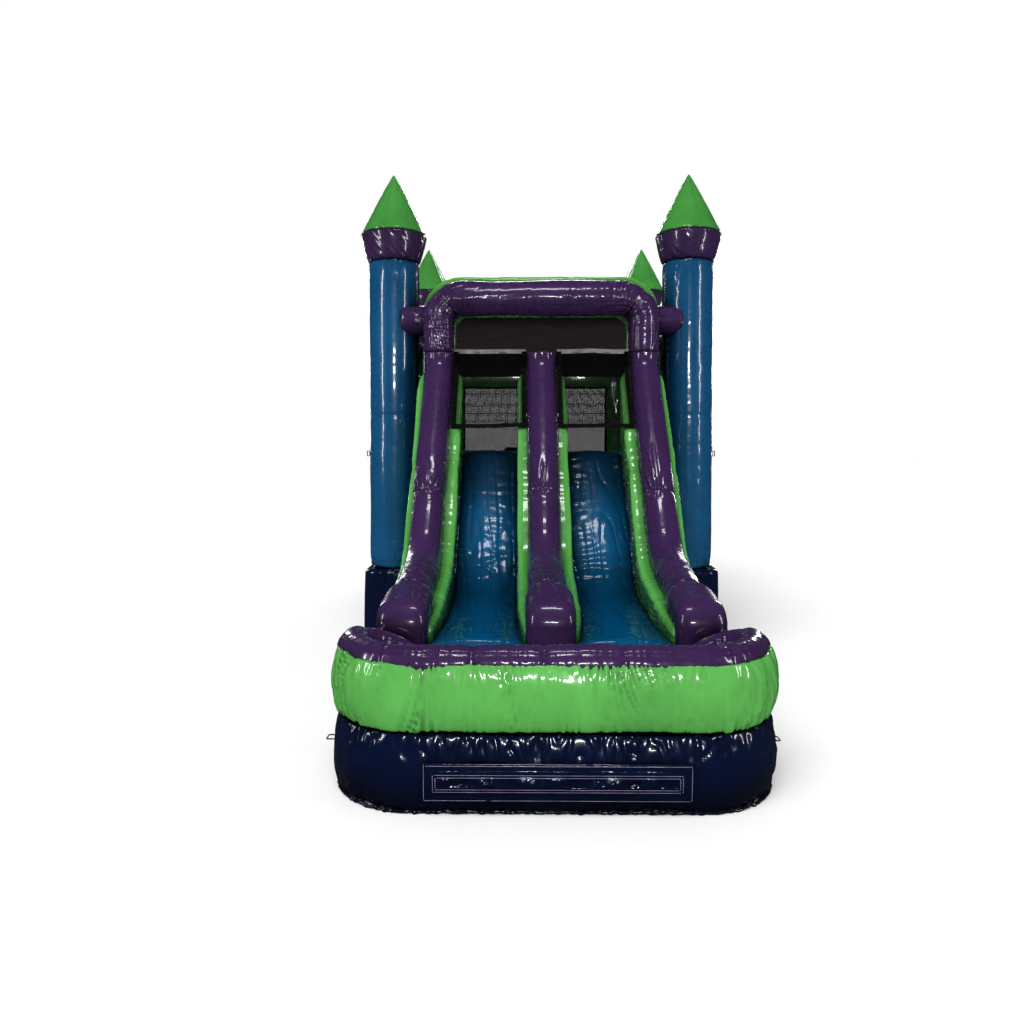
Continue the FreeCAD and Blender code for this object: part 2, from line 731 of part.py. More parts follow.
def blower_grille():
    """The finger guard over the inlet: rings joined by a cross of bars."""
    face = BLOWER_X + BLOWER_HALF + LAP
    frame = rod(on_shaft(face), on_shaft(face + 5), INLET_RADIUS + 15)
    frame = frame.cut(rod(on_shaft(face - 1), on_shaft(face + 6), INLET_RADIUS - 5))
    wires = []
    for radius in range(20, INLET_RADIUS - 5, 20):
        wire = rod(on_shaft(face + 1), on_shaft(face + 4), radius + 2)
        wires.append(wire.cut(rod(on_shaft(face), on_shaft(face + 5), radius - 2)))
    bar = box(
        (face + 1, face + 4),
        (BLOWER_Y - 3, BLOWER_Y + 3),
        (BLOWER_Z - INLET_RADIUS, BLOWER_Z + INLET_RADIUS),
    )
    bars = [turned(bar, angle, on_shaft(0), (1, 0, 0)) for angle in (0, 60, 120)]
    return frame.fuse(wires + bars)


def blower_feet():
    """Four rubber feet that hold the round housing up."""
    half, spread_x, spread_y, height = 22, 95, 130, 130
    feet = []
    for y in (BLOWER_Y - spread_y, BLOWER_Y + spread_y):
        for x in (BLOWER_X - spread_x, BLOWER_X + spread_x):
            post = box((x - half, x + half), (y - half, y + half), (0, height)).cut(blower_hollow(-LAP))
            feet.append(min(post.Solids, key=lambda solid: solid.CenterOfMass.z))
    return Part.makeCompound(feet)


def switch_box():
    """The rocker's socket on top of the motor."""
    top = BLOWER_Z + MOTOR_RADIUS
    half_x, half_y = 38, 30
    outer = box(
        (SWITCH_X - half_x, SWITCH_X + half_x),
        (BLOWER_Y - half_y, BLOWER_Y + half_y),
        (top - 20, top + 30),
    )
    socket = box((SWITCH_X - 16, SWITCH_X + 16), (BLOWER_Y - 12, BLOWER_Y + 12), (top + 12, top + 31))
    can = rod(on_shaft(SWITCH_X - 90), on_shaft(SWITCH_X + 90), MOTOR_RADIUS + LAP)
    return outer.cut(can).cut(socket)


def switch_rocker():
    """The rocker, a shallow wedge that tips about a crosswise line."""
    top = BLOWER_Z + MOTOR_RADIUS + 30
    half_x, half_y = 14, 11
    outline = [(-half_x, top - 4), (half_x, top - 4), (half_x, top + 3), (0, top), (-half_x, top + 3)]
    shifted = [(SWITCH_X + x, z) for x, z in outline]
    return front_plate(shifted, BLOWER_Y - half_y, BLOWER_Y + half_y)


def inflation_sleeve():
    """The fabric tube from the base's rear wall to the blower's outlet, drawn hollow and open."""
    start, end = BASE_HALF + 1, OUTLET_Y - 2
    outer = rod((BLOWER_X, start, SLEEVE_Z), (BLOWER_X, end, SLEEVE_Z), SLEEVE_RADIUS)
    inner = rod((BLOWER_X, start - 1, SLEEVE_Z), (BLOWER_X, end + 1, SLEEVE_Z), SLEEVE_RADIUS - CLOTH)
    return outer.cut(inner)


# ---------------------------------------------------------------- write every node


def all_nodes():
    """Every sub-part by its node name."""
    nodes = {}
    towers = at_corners(tower())
    for corner, shape in towers.items():
        nodes["tower_" + corner] = shape
    nodes["tower_collars"] = Part.makeCompound(list(at_corners(tower_collar()).values()))
    nodes["tower_cones"] = Part.makeCompound(list(at_corners(tower_cone()).values()))
    nodes["house_base"] = house_base()
    nodes["inner_baffles"] = Part.makeCompound([floor_baffles(), slide_baffles()])
    nodes["bounce_floor"] = bounce_floor()

    beam = top_beam(towers)
    frame = wall_frame(towers, beam)
    for name, angle in (("rear", 0), ("left", 90), ("right", 270)):
        nodes["top_beam_" + name] = turned(beam, angle)
        nodes["wall_frame_" + name] = turned(frame, angle)
    nodes["wall_net_rear"] = rear_net()
    nodes["wall_net_left"] = turned(wall_net(), 90)
    nodes["wall_net_right"] = turned(wall_net(), 270)
    nodes["entrance_door"] = entrance_door()
    nodes["entrance_step"] = entrance_step()
    nodes["climbing_wall"] = climbing_wall()
    nodes["climbing_steps"] = climbing_steps()

    arch = arch_tube()
    backing = arch_backing(towers)
    nodes["arch_tube"] = arch
    nodes["arch_backing"] = backing
    nodes["roof_sheet"] = roof_sheet(backing)
    nodes["top_beam_front"] = front_beam(towers, arch, backing)

    outer_rail = rail(ARCH_HALF)
    wall = slide_wall(outer_rail)
    middle = rail(0)
    nodes["rail_right"] = outer_rail
    nodes["rail_left"] = mirrored(outer_rail)
    nodes["rail_middle"] = middle
    nodes["slide_wall_right"] = wall
    nodes["slide_wall_left"] = mirrored(wall)
    nodes["slide_divider"] = slide_divider(middle)
    nodes["lane_right"] = lane()
    nodes["lane_left"] = mirrored(lane())
    nodes["lane_net_right"] = lane_net()
    nodes["lane_net_left"] = mirrored(lane_net())
    nodes["slide_base"] = slide_base()

    rim = pool_rim()
    nodes["pool_rim"] = rim
    nodes["pool_band"] = pool_ring(0, BAND_HEIGHT)
    nodes["pool_wall"] = pool_ring(BAND_HEIGHT, RIM_CREST - RIM_RADIUS).cut(rim)
    nodes["pool_floor"] = pool_floor()
    nodes["banner_panel"] = banner_panel()

    straps = []
    for place, (side, wall_at, y) in ANCHORS.items():
        nodes["anchor_ring_" + place] = anchor_ring(side, wall_at, y)
        straps.append(anchor_strap(side, wall_at, y))
    nodes["anchor_straps"] = Part.makeCompound(straps)
    nodes["tower_loops"] = tower_loops()
    nodes["deflation_zip"] = deflation_zip()
    nodes["zip_slider"] = zip_slider()

    nodes["blower_housing"] = blower_housing()
    nodes["blower_handle"] = blower_handle()
    nodes["blower_impeller"] = blower_impeller()
    nodes["blower_motor"] = blower_motor()
    nodes["blower_grille"] = blower_grille()
    nodes["blower_feet"] = blower_feet()
    nodes["switch_box"] = switch_box()
    nodes["switch_rocker"] = switch_rocker()
    nodes["inflation_sleeve"] = inflation_sleeve()
    return nodes


def main():
    os.makedirs("parts", exist_ok=True)
    total = 0
    nodes = all_nodes()
    for name, shape in nodes.items():
        volume = sum(solid.Volume for solid in shape.Solids) / 1e9
        total += volume
        bounds = shape.BoundBox
        print(f"{name:24s} {len(shape.Solids)} solids {shape.isValid()} {volume:8.4f} m3  "
              f"x {bounds.XMin:.0f} {bounds.XMax:.0f} y {bounds.YMin:.0f} {bounds.YMax:.0f} "
              f"z {bounds.ZMin:.0f} {bounds.ZMax:.0f}")
        shape.exportStep(f"parts/{name}.step")
    print(f"{len(nodes)} nodes, {total:.2f} m3")


main()
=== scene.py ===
"""The looks of the inflatable bounce house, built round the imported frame, in metres.

Every inflated piece is a grid of closed rings that is swept along a path, then wrinkled by moving its
points along their normals: pinched seams, gathers that run away from the seams, and soft creases.
"""
import math

import bpy
import numpy as np
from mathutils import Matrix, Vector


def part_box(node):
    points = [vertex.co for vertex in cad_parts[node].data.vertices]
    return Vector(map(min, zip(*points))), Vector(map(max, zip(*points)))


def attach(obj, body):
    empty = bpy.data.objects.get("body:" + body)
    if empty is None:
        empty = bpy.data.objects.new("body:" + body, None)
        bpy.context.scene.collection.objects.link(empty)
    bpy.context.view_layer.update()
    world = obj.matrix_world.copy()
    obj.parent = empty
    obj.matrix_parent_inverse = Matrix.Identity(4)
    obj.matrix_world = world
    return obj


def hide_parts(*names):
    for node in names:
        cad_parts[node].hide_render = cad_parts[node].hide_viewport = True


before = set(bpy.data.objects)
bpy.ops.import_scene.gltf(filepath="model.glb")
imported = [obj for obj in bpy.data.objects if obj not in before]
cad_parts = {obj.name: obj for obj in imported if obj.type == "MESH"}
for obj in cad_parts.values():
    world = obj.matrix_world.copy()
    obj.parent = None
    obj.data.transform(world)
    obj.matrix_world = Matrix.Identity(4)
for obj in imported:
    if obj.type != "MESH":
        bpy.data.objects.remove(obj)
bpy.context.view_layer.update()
BODY = "bounce_house"

X = np.array([1.0, 0.0, 0.0])
Y = np.array([0.0, 1.0, 0.0])
Z = np.array([0.0, 0.0, 1.0])


def box(node):
    """A node's low and high corners as arrays."""
    low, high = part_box(node)
    return np.array(low), np.array(high)


# ---------------------------------------------------------------- places, read from the frame

BASE_LOW, BASE_HIGH = box("house_base")
BASE_HALF = BASE_HIGH[0]
BASE_FRONT = BASE_LOW[1]
BASE_TOP = BASE_HIGH[2]
TOWER_LOW, TOWER_HIGH = box("tower_rear_right")
TOWER_AT = (TOWER_LOW[0] + TOWER_HIGH[0]) / 2
TOWER_RADIUS = (TOWER_HIGH[0] - TOWER_LOW[0]) / 2
COLLAR_LOW, COLLAR_HIGH = box("tower_collars")
CONE_LOW, CONE_HIGH = box("tower_cones")
CONE_RADIUS = CONE_HIGH[0] - TOWER_AT
BEAM_LOW, BEAM_HIGH = box("top_beam_rear")
BEAM_RADIUS = (BEAM_HIGH[2] - BEAM_LOW[2]) / 2
BEAM_HEIGHT = (BEAM_HIGH[2] + BEAM_LOW[2]) / 2

ARCH_LOW, ARCH_HIGH = box("arch_tube")
TUBE_RADIUS = 0.165
ARCH_Y = ARCH_LOW[1] + TUBE_RADIUS
ARCH_HALF = ARCH_HIGH[0] - TUBE_RADIUS
ARCH_TOP = ARCH_HIGH[2] - TUBE_RADIUS
ARCH_FOOT = ARCH_LOW[2]
BACKING_LOW, BACKING_HIGH = box("arch_backing")

POOL_LOW, POOL_HIGH = box("pool_band")
POOL_HALF = POOL_HIGH[0]
POOL_FRONT = POOL_LOW[1]
SLIDE_END = POOL_HIGH[1]
BAND_HEIGHT = POOL_HIGH[2]
RIM_LOW, RIM_HIGH = box("pool_rim")
RIM_RADIUS = (RIM_HIGH[2] - RIM_LOW[2]) / 2
RIM_HEIGHT = (RIM_HIGH[2] + RIM_LOW[2]) / 2
LANE_LOW, LANE_HIGH = box("lane_right")

POOL_CORNER = 0.60
POOL_SPACING = 0.013         # between the rings of the pool's pieces
WALL_INSET = RIM_RADIUS + 0.034
RIM_INSET = RIM_RADIUS + 0.028
RIM_TUCK = 0.15              # the rim's ends dip this far under the rails' noses
RIM_SEAMS = (-1.75, -1.05, -0.50, -0.05, 0.45, 1.10, 1.80)      # along the rim, from the front's middle
BAND_BULGE = 0.030           # the pool's navy band swells over its front
ARCH_CORNER = 0.26
NOSE_HALF = box("rail_middle")[1][0]
NOSE_LENGTH = 0.50           # the rail's wide blunt end, which covers the wall's end
NOSE_FOOT = 0.62
NOSE_FOLD = 0.025            # the nose turns down about a line this far under the rail's middle line
RAIL_SEAM = 1.64             # along the rail's ridge, between the arch's leg and the slope

# the slide in side view, as the part has it: y and z of the bends, and their radii
RAIL_BENDS = [
    (ARCH_Y, ARCH_FOOT),
    (ARCH_Y, ARCH_FOOT - 0.15),
    (-3.20, 1.20),
    (SLIDE_END + 0.175, 0.985),
]
RAIL_RADII = [0.4, 0.65]
LANE_BENDS = [(LANE_HIGH[1], LANE_HIGH[2]), (-2.15, LANE_HIGH[2]), (-3.16, 0.93), (LANE_LOW[1], 0.87)]
LANE_RADII = [0.16, 0.65]
KNEE_AT = -3.05
WALL_TAPER = 0.75            # over this far from their ends the walls get thinner and the lanes wider
END_SPREAD = 0.065           # by this much at the end
WALL_PANELS = 4

BEAM_AT = BEAM_HIGH[1] - BEAM_RADIUS
FRAME_LOW, FRAME_HIGH = box("wall_frame_rear")
NET_HALF = box("wall_net_rear")[1][0]
HEADER_LOW = box("wall_net_rear")[1][2]
HEADER_HEIGHT = FRAME_HIGH[2] - HEADER_LOW
NET_BAND = 0.235             # the close-woven top of a lane net, near-black as painted shade over the rear beam
BASE_CORNER = 0.13
CHANNELS = 9                 # round channels across the bounce floor
PASSAGE_HALF, PASSAGE_TOP = 0.925, 3.66
CLIMB_HEAD, CLIMB_ROWS = -1.48, 3
DOOR_HALF, DOOR_TOP = 0.45, 2.185
BANNER_FRAME = 0.075
WALLS = {"rear": 0, "left": 90, "right": -90}     # the degrees that turn the rear wall into each wall
TOWER_SEAMS = (0.06, 1.65)
NET_PITCH, NET_CORD = 0.012, 0.0085
LANE_PITCH, LANE_CORD = 0.022, 0.0030


# ---------------------------------------------------------------- noise and wrinkles


def noise(points, size, seed):
    """Smooth noise of about -1 to 1, whose bumps are about size across, as a sum of plane waves."""
    points = np.asarray(points, float)
    random = np.random.default_rng(seed)
    count = 12
    ways = random.normal(size=(count, points.shape[-1]))
    ways /= np.linalg.norm(ways, axis=1, keepdims=True)
    pitch = 2 * math.pi / size * random.uniform(0.45, 1.1, size=(count, 1))
    phases = random.uniform(0, 2 * math.pi, count)
    return np.sin(points @ (ways * pitch).T + phases).sum(-1) / math.sqrt(count)


def creases(points, size, seed, width=0.35):
    """Narrow lines, 1 on a crease and 0 away from it, in a random net of about this mesh size."""
    return np.exp(-(noise(points, size, seed) / width) ** 2)


def gathers(along, across, pitch, reach, seed):
    """Creases that leave a seam at right angles and die out: distances along the seam and from it."""
    along, across = np.broadcast_arrays(along, np.abs(across))
    line = np.stack([along, across * 0], -1)
    fan = np.stack([along + 0.25 * across * noise(line, pitch * 9, seed + 4), across * 0.10], -1)
    lines = creases(fan, pitch, seed, 0.42) - 0.4
    fine = creases(fan, pitch * 0.6, seed + 5, 0.5) - 0.4
    lines += 0.35 * fine * near(across, reach * 0.35)
    strength = 0.6 + 0.6 * noise(line, pitch * 6, seed + 1)
    own_reach = np.clip(reach * (1 + 0.6 * noise(line, pitch * 1.7, seed + 2)), reach * 0.25, None)
    return lines * np.clip(strength, 0.1, 1.5) * np.exp(-(across / own_reach) ** 1.3)


def pinch(distance, width):
    """1 on a seam, 0 away from it."""
    return np.exp(-(distance / width) ** 2)


def near(distance, reach):
    """1 on a seam, with a slow fall on both sides."""
    return np.exp(-np.abs(distance) / reach)


def to_nearest(distance, pitch):
    """How far each place is from the nearest of evenly spaced seams."""
    share = distance / pitch
    return np.abs(share - np.round(share)) * pitch


# ---------------------------------------------------------------- meshes from rings


def unit(vector):
    """The vector, or each of a list of them, at length 1."""
    vector = np.asarray(vector, float)
    return vector / np.linalg.norm(vector, axis=-1, keepdims=True)


def along_path(points):
    """Each point's distance along the path."""
    steps = np.linalg.norm(np.diff(points, axis=0), axis=1)
    return np.concatenate([[0], np.cumsum(steps)])


def resampled(points, step):
    """The same path with points every step."""
    reach = along_path(points)
    count = max(2, int(round(reach[-1] / step)) + 1)
    even = np.linspace(0, reach[-1], count)
    return np.stack([np.interp(even, reach, points[:, i]) for i in range(points.shape[1])], -1)


def bent_path(points, radii, step, closed=False):
    """Straight runs through the points, joined by tangent arcs, with points every step."""
    points = np.asarray(points, float)
    count = len(points)
    corners = range(count) if closed else range(1, count - 1)
    dense = [] if closed else [points[:1]]
    for corner, radius in zip(corners, radii):
        here = points[corner]
        before = unit(points[corner - 1] - here)
        after = unit(points[(corner + 1) % count] - here)
        half = math.acos(np.clip(before @ after, -1, 1)) / 2
        reach = radius / math.tan(half)
        centre = here + unit(before + after) * radius / math.sin(half)
        start, end = here + before * reach - centre, here + after * reach - centre
        turn = math.pi - 2 * half
        share = np.linspace(0, 1, 33)[:, None]
        arc = np.sin((1 - share) * turn) * start + np.sin(share * turn) * end
        dense.append(centre + arc / math.sin(turn))
    dense.append(dense[0][:1] if closed else points[-1:])
    return resampled(np.concatenate(dense), step)


def evenly(outline, count):
    """The outline as this many evenly spaced points, without its last one."""
    return resampled(outline, along_path(outline)[-1] / count)[:count]


def gateway(half, foot, head):
    """The corners of a frame that is open below, from its left foot to its right foot."""
    return [(-half, foot), (-half, head), (half, head), (half, foot)]


def at_x(x, pairs):
    """(y, z) pairs as points at one x."""
    return np.column_stack([np.full(len(pairs), x), pairs])


def upright_path(heights):
    """Points at these heights on the z axis."""
    return np.stack([heights * 0, heights * 0, heights], -1)


def tangents(path):
    """Unit directions along a path."""
    return unit(np.gradient(path, axis=0))


def tube_rings(path, radius, side, around):
    """Round rings along a path in 3-D: side is the direction that no bend turns."""
    forward = tangents(path)
    up = unit(np.cross(forward, side))
    angle = np.linspace(0, 2 * math.pi, around, endpoint=False)
    radius = np.broadcast_to(radius, (len(path),))[:, None, None]
    spread = np.cos(angle)[None, :, None] * side + np.sin(angle)[None, :, None] * up[:, None, :]
    return path[:, None, :] + radius * spread


def boxy(angle, power):
    """How far out a rounded square of half width 1 lies at each angle. Power 2 makes it a circle."""
    return (np.abs(np.cos(angle)) ** power + np.abs(np.sin(angle)) ** power) ** (-1 / power)


def plump(half_width, half_height, around, power):
    """A closed section as (across, up) pairs: a rounded rectangle that bulges on every side."""
    angle = np.linspace(0, 2 * math.pi, around * 8, endpoint=False)
    size = boxy(angle, power)
    outline = np.stack([half_width * np.cos(angle) * size, half_height * np.sin(angle) * size], -1)
    return evenly(np.concatenate([outline, outline[:1]]), around)


def plan_rings(path, section):
    """A section of (outward, z) pairs, swept along a path on the ground that has outwards on its right."""
    forward = tangents(path)
    outward = np.stack([forward[:, 1], -forward[:, 0]], -1)
    flat = path[:, None, :] + outward[:, None, :] * section[None, :, :1]
    heights = np.broadcast_to(section[None, :, 1:], (len(path), len(section), 1))
    return np.concatenate([flat, heights], -1)


def grid_normals(rings):
    """Outward normals at every point of a grid of rings."""
    around = np.roll(rings, -1, 1) - np.roll(rings, 1, 1)
    normals = np.cross(np.gradient(rings, axis=0), around)
    normals /= np.maximum(np.linalg.norm(normals, axis=-1, keepdims=True), 1e-12)
    outward = rings - rings.mean(1, keepdims=True)
    return normals if (normals * outward).sum() > 0 else -normals


def puffed(rings, amount):
    """The rings with every point moved out along its normal."""
    return rings + grid_normals(rings) * amount[..., None]


def kept_within(rings, low, high=np.inf):
    """The rings with no point lower or higher than this."""
    rings[..., 2] = np.clip(rings[..., 2], low, high)
    return rings


def lengths(rings):
    """For every point of a grid: its distance along the sweep, and round its ring from the first point."""
    middle = rings.mean(1)
    along = along_path(middle)[:, None] + np.zeros(rings.shape[1])
    steps = np.linalg.norm(np.roll(rings, -1, 1) - rings, axis=-1)
    around = np.cumsum(steps, 1) - steps
    return along, around


def mesh_piece(name, points, faces, material, smooth=True):
    """A mesh object with one material."""
    mesh = bpy.data.meshes.new(name)
    mesh.from_pydata(points, [], faces)
    mesh.update()
    if smooth:
        mesh.shade_smooth()
    piece = bpy.data.objects.new(name, mesh)
    bpy.context.scene.collection.objects.link(piece)
    mesh.materials.append(material)
    return piece


def ring_faces(rows, columns, offset):
    """Quads between neighbouring rings, and fans that close the two ends."""
    row = np.arange(rows - 1)[:, None] * columns
    column = np.arange(columns)
    beside = (column + 1) % columns
    corners = [row + column, row + beside, row + columns + beside, row + columns + column]
    faces = (np.stack(corners, -1).reshape(-1, 4) + offset).tolist()
    last_ring = offset + (rows - 1) * columns
    centre = offset + rows * columns
    for i, j in zip(column.tolist(), beside.tolist()):
        faces.append([offset + j, offset + i, centre])
        faces.append([last_ring + i, last_ring + j, centre + 1])
    return faces


def joined_rings(grids):
    """Points and faces of one or more grids of rings, closed at both ends."""
    points, faces = [], []
    offset = 0
    for rings in grids:
        rows, columns = rings.shape[:2]
        found = ring_faces(rows, columns, offset)
        around = np.roll(rings, -1, 1) - rings
        if (np.cross(around, np.gradient(rings, axis=0)) * grid_normals(rings)).sum() < 0:
            found = [face[::-1] for face in found]
        points += [rings.reshape(-1, 3), rings[:1].mean(1), rings[-1:].mean(1)]
        faces += found
        offset += rows * columns + 2
    return np.concatenate(points), faces


def riding_piece(name, points, faces, material, *nodes, body=BODY, smooth=True):
    """A piece that rides a body, in its material's slot, in place of the CAD nodes that it stands for."""
    piece = mesh_piece(name, points, faces, material, smooth)
    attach(piece, body)
    if nodes:
        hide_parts(*nodes)
    return piece


def skin(name, grids, material, *nodes):
    """A blown-up piece of the house, made of one or more grids of rings."""
    return riding_piece(name, *joined_rings(grids), material, *nodes)


def spun(rings, degrees):
    """The rings turned about the z axis."""
    turn = math.radians(degrees)
    cosine, sine = math.cos(turn), math.sin(turn)
    x, y = rings[..., 0], rings[..., 1]
    return np.stack([x * cosine - y * sine, x * sine + y * cosine, rings[..., 2]], -1)


# ---------------------------------------------------------------- materials


def linear(red, green, blue):
    """A screen colour of 0 to 255 as linear light."""
    channels = [value / 255 for value in (red, green, blue)]
    return [c / 12.92 if c <= 0.04045 else ((c + 0.055) / 1.055) ** 2.4 for c in channels] + [1.0]


def shaded(name):
    """A new material, its node tree and its Principled shader."""
    material = bpy.data.materials.new(name)
    material.use_nodes = True
    tree = material.node_tree
    shader = tree.nodes["Principled BSDF"]
    return material, tree, shader


def texture(tree, kind, scale, stretch=(1, 1, 1), **settings):
    """A procedural texture in object coordinates, in metres."""
    place = tree.nodes.new("ShaderNodeTexCoord")
    mapping = tree.nodes.new("ShaderNodeMapping")
    mapping.inputs["Scale"].default_value = stretch
    node = tree.nodes.new(kind)
    node.inputs["Scale"].default_value = scale
    for key, value in settings.items():
        if key in node.inputs:
            node.inputs[key].default_value = value
        else:
            setattr(node, key, value)
    tree.links.new(place.outputs["Object"], mapping.inputs["Vector"])
    tree.links.new(mapping.outputs["Vector"], node.inputs["Vector"])
    return node


def ramp(tree, source, stops):
    """A colour ramp: stops of (place, colour)."""
    node = tree.nodes.new("ShaderNodeValToRGB")
    while len(node.color_ramp.elements) < len(stops):
        node.color_ramp.elements.new(0.5)
    for element, (place, colour) in zip(node.color_ramp.elements, stops):
        element.position = place
        element.color = colour
    tree.links.new(source, node.inputs["Fac"])
    return node


def spread(tree, source, low, high):
    """A value of 0 to 1 mapped to a range."""
    node = tree.nodes.new("ShaderNodeMapRange")
    node.inputs["To Min"].default_value = low
    node.inputs["To Max"].default_value = high
    tree.links.new(source, node.inputs["Value"])
    return node.outputs["Result"]


def bumps(tree, shader, layers):
    """Chained bump nodes: layers of (height output, strength, distance)."""
    before = None
    for height, strength, distance in layers:
        node = tree.nodes.new("ShaderNodeBump")
        node.inputs["Strength"].default_value = strength
        node.inputs["Distance"].default_value = distance
        tree.links.new(height, node.inputs["Height"])
        if before is not None:
            tree.links.new(before.outputs["Normal"], node.inputs["Normal"])
        before = node
    tree.links.new(before.outputs["Normal"], shader.inputs["Normal"])


def multiplied(tree, first, second):
    """The product of two values."""
    node = tree.nodes.new("ShaderNodeMath")
    node.operation = "MULTIPLY"
    tree.links.new(first, node.inputs[0])
    tree.links.new(second, node.inputs[1])
    return node.outputs["Value"]


def tinted(colour, factor):
    """A darker or lighter version of a colour."""
    return [min(1.0, channel * factor) for channel in colour[:3]] + [1.0]


def finished(tree, shader, colour, texture_node, low, high):
    """Links a colour, and a roughness that a texture spreads from low to high."""
    tree.links.new(colour, shader.inputs["Base Color"])
    tree.links.new(spread(tree, texture_node.outputs["Fac"], low, high), shader.inputs["Roughness"])


def vinyl(name, colour, gloss=0.24, painted_shade=(), coat=0.65):
    """PVC-coated fabric: glossy, faintly mottled, with fine crinkles over a woven scrim.

    Crevices are darkened with painted shade from ambient occlusion. Optional (height in metres, factor) pairs
    add painted shade that the colour follows by height.
    """
    material, tree, shader = shaded(name)
    mottle = texture(tree, "ShaderNodeTexNoise", 2.2, Detail=5.0, Roughness=0.6)
    tone = ramp(
        tree,
        mottle.outputs["Fac"],
        [(0.25, tinted(colour, 0.78)), (0.55, colour), (0.85, tinted(colour, 1.22))],
    )
    # painted shade: ambient occlusion darkens the colour in crevices and between parts
    painted_crevice_shade = tree.nodes.new("ShaderNodeAmbientOcclusion")
    painted_crevice_shade.inputs["Distance"].default_value = 0.35
    painted_crevice_shade.samples = 4
    shade = spread(tree, painted_crevice_shade.outputs["AO"], 0.12, 1.0)
    shade = multiplied(tree, shade, shade)
    # painted shade by height: the colour is darkened by the given factors
    if painted_shade:
        place = tree.nodes.new("ShaderNodeTexCoord")
        height = tree.nodes.new("ShaderNodeSeparateXYZ")
        tree.links.new(place.outputs["Object"], height.inputs["Vector"])
        share = tree.nodes.new("ShaderNodeMath")
        share.operation = "DIVIDE"
        share.inputs[1].default_value = painted_shade[-1][0]
        tree.links.new(height.outputs["Z"], share.inputs[0])
        stops = [(z / painted_shade[-1][0], (factor, factor, factor, 1)) for z, factor in painted_shade]
        shade = multiplied(tree, shade, ramp(tree, share.outputs["Value"], stops).outputs["Color"])
    mixed = tree.nodes.new("ShaderNodeVectorMath")
    mixed.operation = "SCALE"
    tree.links.new(tone.outputs["Color"], mixed.inputs[0])
    tree.links.new(shade, mixed.inputs["Scale"])
    scuffs = texture(tree, "ShaderNodeTexNoise", 9.0, Detail=8.0, Roughness=0.7)
    finished(tree, shader, mixed.outputs["Vector"], scuffs, gloss - 0.08, gloss + 0.14)
    crinkle = texture(tree, "ShaderNodeTexNoise", 26.0, Detail=2.0, Roughness=0.5, Distortion=0.6)
    weave = texture(tree, "ShaderNodeTexVoronoi", 420.0)
    slack = texture(tree, "ShaderNodeTexNoise", 7.0, Detail=3.0, Roughness=0.5, Distortion=1.2)
    bumps(
        tree,
        shader,
        [
            (slack.outputs["Fac"], 0.10, 0.02),
            (crinkle.outputs["Fac"], 0.05, 0.004),
            (weave.outputs["Distance"], 0.02, 0.0004),
        ],
    )
    shader.inputs["IOR"].default_value = 1.5
    shader.inputs["Specular IOR Level"].default_value = 0.18
    shader.inputs["Coat Weight"].default_value = coat
    shader.inputs["Coat Roughness"].default_value = 0.08
    return material


def cloth(name, colour, pitch=900.0, roughness=0.8, lets_through=0.0):
    """Woven polyester: webbing, hems and net cord. Some of the light may come through it."""
    material, tree, shader = shaded(name)
    fibres = texture(tree, "ShaderNodeTexWave", pitch, Distortion=1.5, bands_direction="DIAGONAL")
    dirt = texture(tree, "ShaderNodeTexNoise", 12.0, Detail=4.0)
    tone = ramp(tree, dirt.outputs["Fac"], [(0.3, tinted(colour, 0.7)), (0.75, tinted(colour, 1.5))])
    finished(tree, shader, tone.outputs["Color"], dirt, roughness - 0.1, roughness + 0.1)
    bumps(tree, shader, [(fibres.outputs["Fac"], 0.3, 0.0008)])
    shader.inputs["Specular IOR Level"].default_value = 0.08
    if lets_through:
        glow = tree.nodes.new("ShaderNodeBsdfTranslucent")
        glow.inputs["Color"].default_value = tinted(colour, 2.0)
        mix = tree.nodes.new("ShaderNodeMixShader")
        mix.inputs["Fac"].default_value = lets_through
        tree.links.new(shader.outputs["BSDF"], mix.inputs[1])
        tree.links.new(glow.outputs["BSDF"], mix.inputs[2])
        tree.links.new(mix.outputs["Shader"], tree.nodes["Material Output"].inputs["Surface"])
    return material


def moulded(name, colour, roughness=0.5, metallic=0.0):
    """Moulded plastic, rubber or painted metal with a fine grain and worn patches."""
    material, tree, shader = shaded(name)
    wear = texture(tree, "ShaderNodeTexNoise", 14.0, Detail=8.0, Roughness=0.7)
    tone = ramp(tree, wear.outputs["Fac"], [(0.3, tinted(colour, 0.8)), (0.7, tinted(colour, 1.15))])
    finished(tree, shader, tone.outputs["Color"], wear, roughness - 0.12, roughness + 0.15)
    grain = texture(tree, "ShaderNodeTexNoise", 600.0, Detail=3.0)
    bumps(tree, shader, [(grain.outputs["Fac"], 0.15, 0.0005)])
    shader.inputs["Metallic"].default_value = metallic
    return material


# painted shade on the lanes by height: dark in the knee and up in the arch's shade, light on the slope
LANE_PAINTED_SHADE = ((0.86, 0.8), (0.94, 0.38), (1.12, 0.62), (1.32, 1.0), (1.6, 0.85), (1.9, 0.32), (2.25, 0.16))

BLUE = vinyl("vinyl_blue", linear(8, 74, 116))
LANE_BLUE = vinyl("vinyl_lane_blue", linear(0, 80, 124), gloss=0.17, painted_shade=LANE_PAINTED_SHADE, coat=0.3)
PURPLE = vinyl("vinyl_purple", linear(54, 31, 73))
GREEN = vinyl("vinyl_green", linear(88, 170, 77))
CONE_GREEN = vinyl("vinyl_cone_green", linear(62, 138, 58))
NAVY = vinyl("vinyl_navy", linear(2, 13, 44), 0.2)
NET_BLACK = cloth("netting_black", linear(10, 10, 11))
ROOF_BLACK = cloth("mesh_roof_black", linear(30, 25, 27), 700.0, 0.6, lets_through=0.5)
